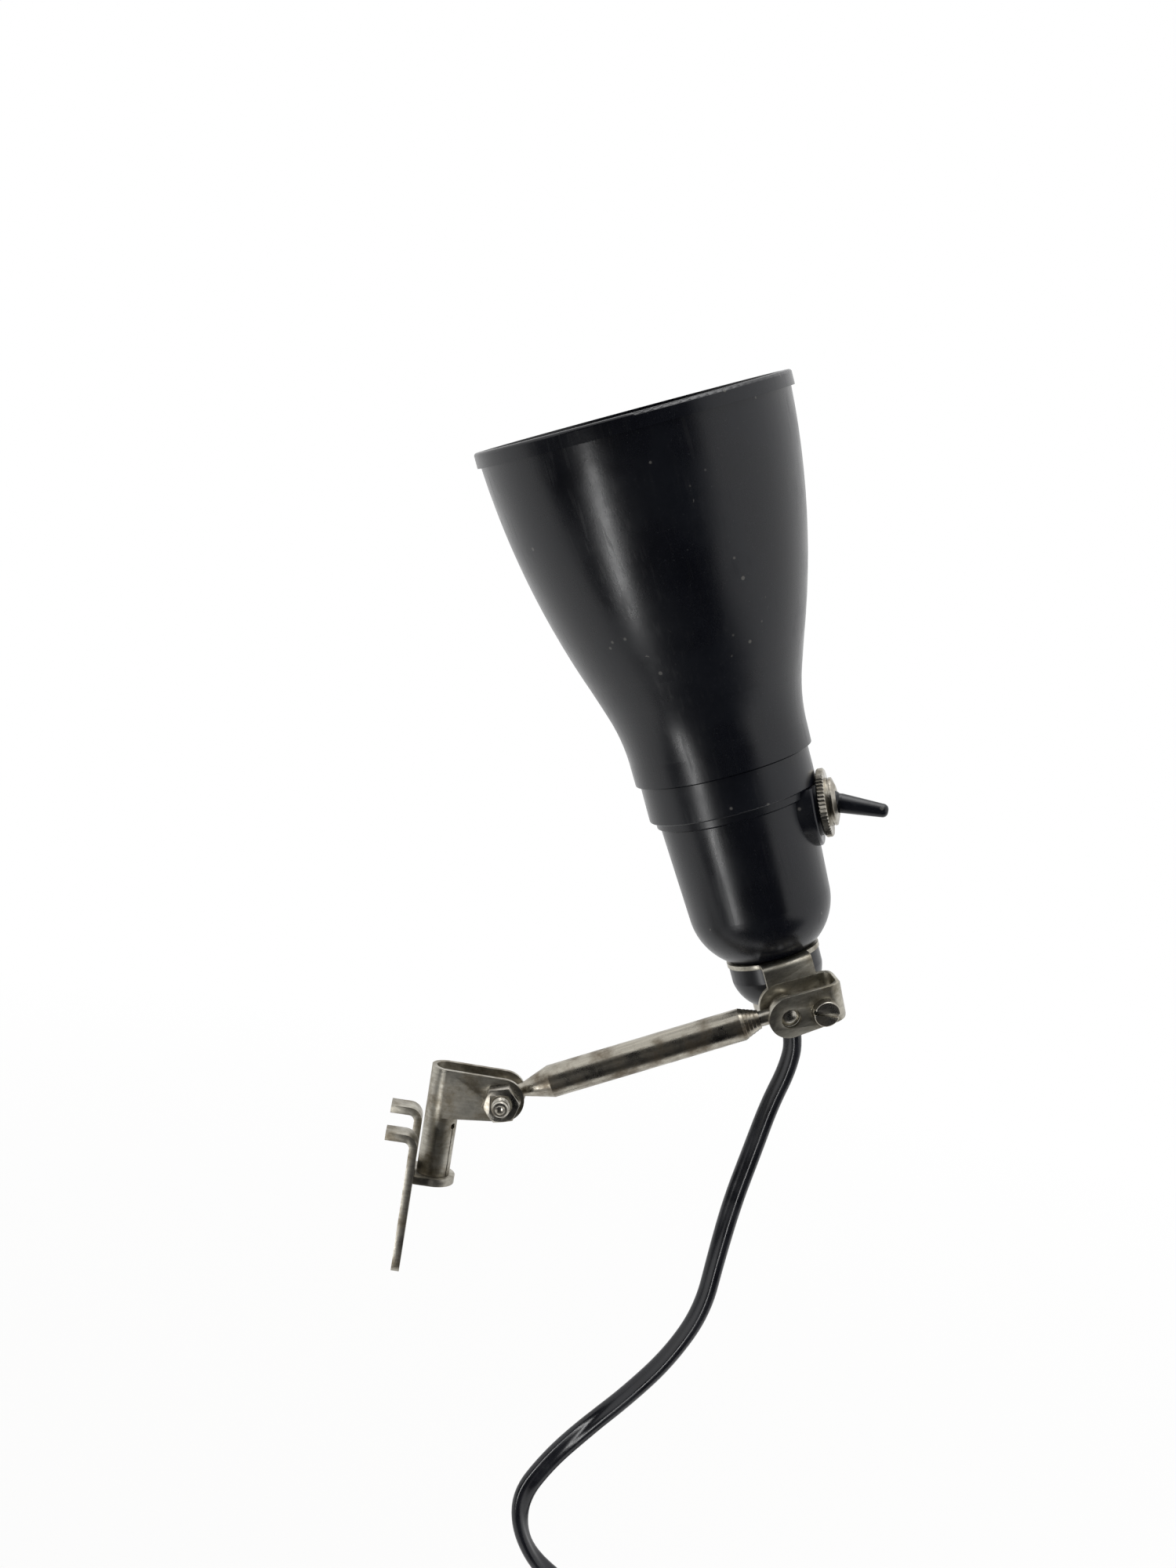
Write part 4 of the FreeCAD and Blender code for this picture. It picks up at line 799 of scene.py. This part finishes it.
# One card stands behind the camera and one lies in front of the lamp; only reflections see them.
cards = {
    "standing_card": ((-0.55, -1.25, 0.55), (math.pi / 2, 0, 0), (3.5, 1.8, 1.0)),
    "lying_card": ((-0.55, -0.70, floor_height + 0.01), (0, 0, 0), (3.5, 1.1, 1.0)),
}
for name, (place, turn, size) in cards.items():
    bpy.ops.mesh.primitive_plane_add(size=1.0, location=place, rotation=turn)
    card = bpy.context.object
    card.name = name
    card.scale = size
    card.visible_camera = False
    card.visible_diffuse = False
    card.visible_shadow = False
    card.data.materials.append(card_cloth)

bpy.ops.mesh.primitive_plane_add(size=6.0, location=(0, 0, floor_height))
floor = bpy.context.object
floor.name = "floor"
floor_paint = new_material("pale_floor")
seen = add(floor_paint, "ShaderNodeLightPath")
either = add(
    floor_paint, "ShaderNodeMath", {"operation": "MAXIMUM"},
    _0=seen.outputs["Is Camera Ray"], _1=seen.outputs["Is Glossy Ray"],
)
floor_place = add(floor_paint, "ShaderNodeTexCoord")
far = add(floor_paint, "ShaderNodeVectorMath", {"operation": "LENGTH"}, _0=floor_place.outputs["Object"])
fade = add(
    floor_paint, "ShaderNodeMapRange",
    {"From Min": 0.2, "From Max": 0.9, "To Min": 0.85, "To Max": 1.0}, Value=far.outputs["Value"],
)
matt = add(floor_paint, "ShaderNodeBsdfPrincipled", {"Base Color": colour("efeeec"), "Roughness": 0.9})
white = add(floor_paint, "ShaderNodeEmission", {"Color": colour("ffffff"), "Strength": 1.0})
part = add(
    floor_paint, "ShaderNodeMath", {"operation": "MULTIPLY"},
    _0=either.outputs["Value"], _1=fade.outputs["Result"],
)
shown = add(
    floor_paint, "ShaderNodeMixShader",
    _0=part.outputs["Value"], _1=matt.outputs["BSDF"], _2=white.outputs["Emission"],
)
add(floor_paint, "ShaderNodeOutputMaterial", Surface=shown.outputs["Shader"])
floor.data.materials.append(floor_paint)

world = bpy.data.worlds.new("studio_world")
bpy.context.scene.world = world
world.use_nodes = True
world.node_tree.nodes.clear()
rays = add(world, "ShaderNodeLightPath")
direct = add(
    world, "ShaderNodeMath", {"operation": "MAXIMUM"},
    _0=rays.outputs["Is Camera Ray"], _1=rays.outputs["Is Glossy Ray"],
)
seen_white = add(
    world, "ShaderNodeMath", {"operation": "MAXIMUM"},
    _0=direct.outputs["Value"], _1=rays.outputs["Is Transmission Ray"],
)
level = add(world, "ShaderNodeMapRange", {"To Min": 0.5, "To Max": 1.0}, Value=seen_white.outputs["Value"])
sky = add(world, "ShaderNodeBackground", {"Color": colour("ffffff")}, Strength=level.outputs["Result"])
add(world, "ShaderNodeOutputWorld", Surface=sky.outputs["Background"])
bpy.context.scene.view_settings.view_transform = "Standard"
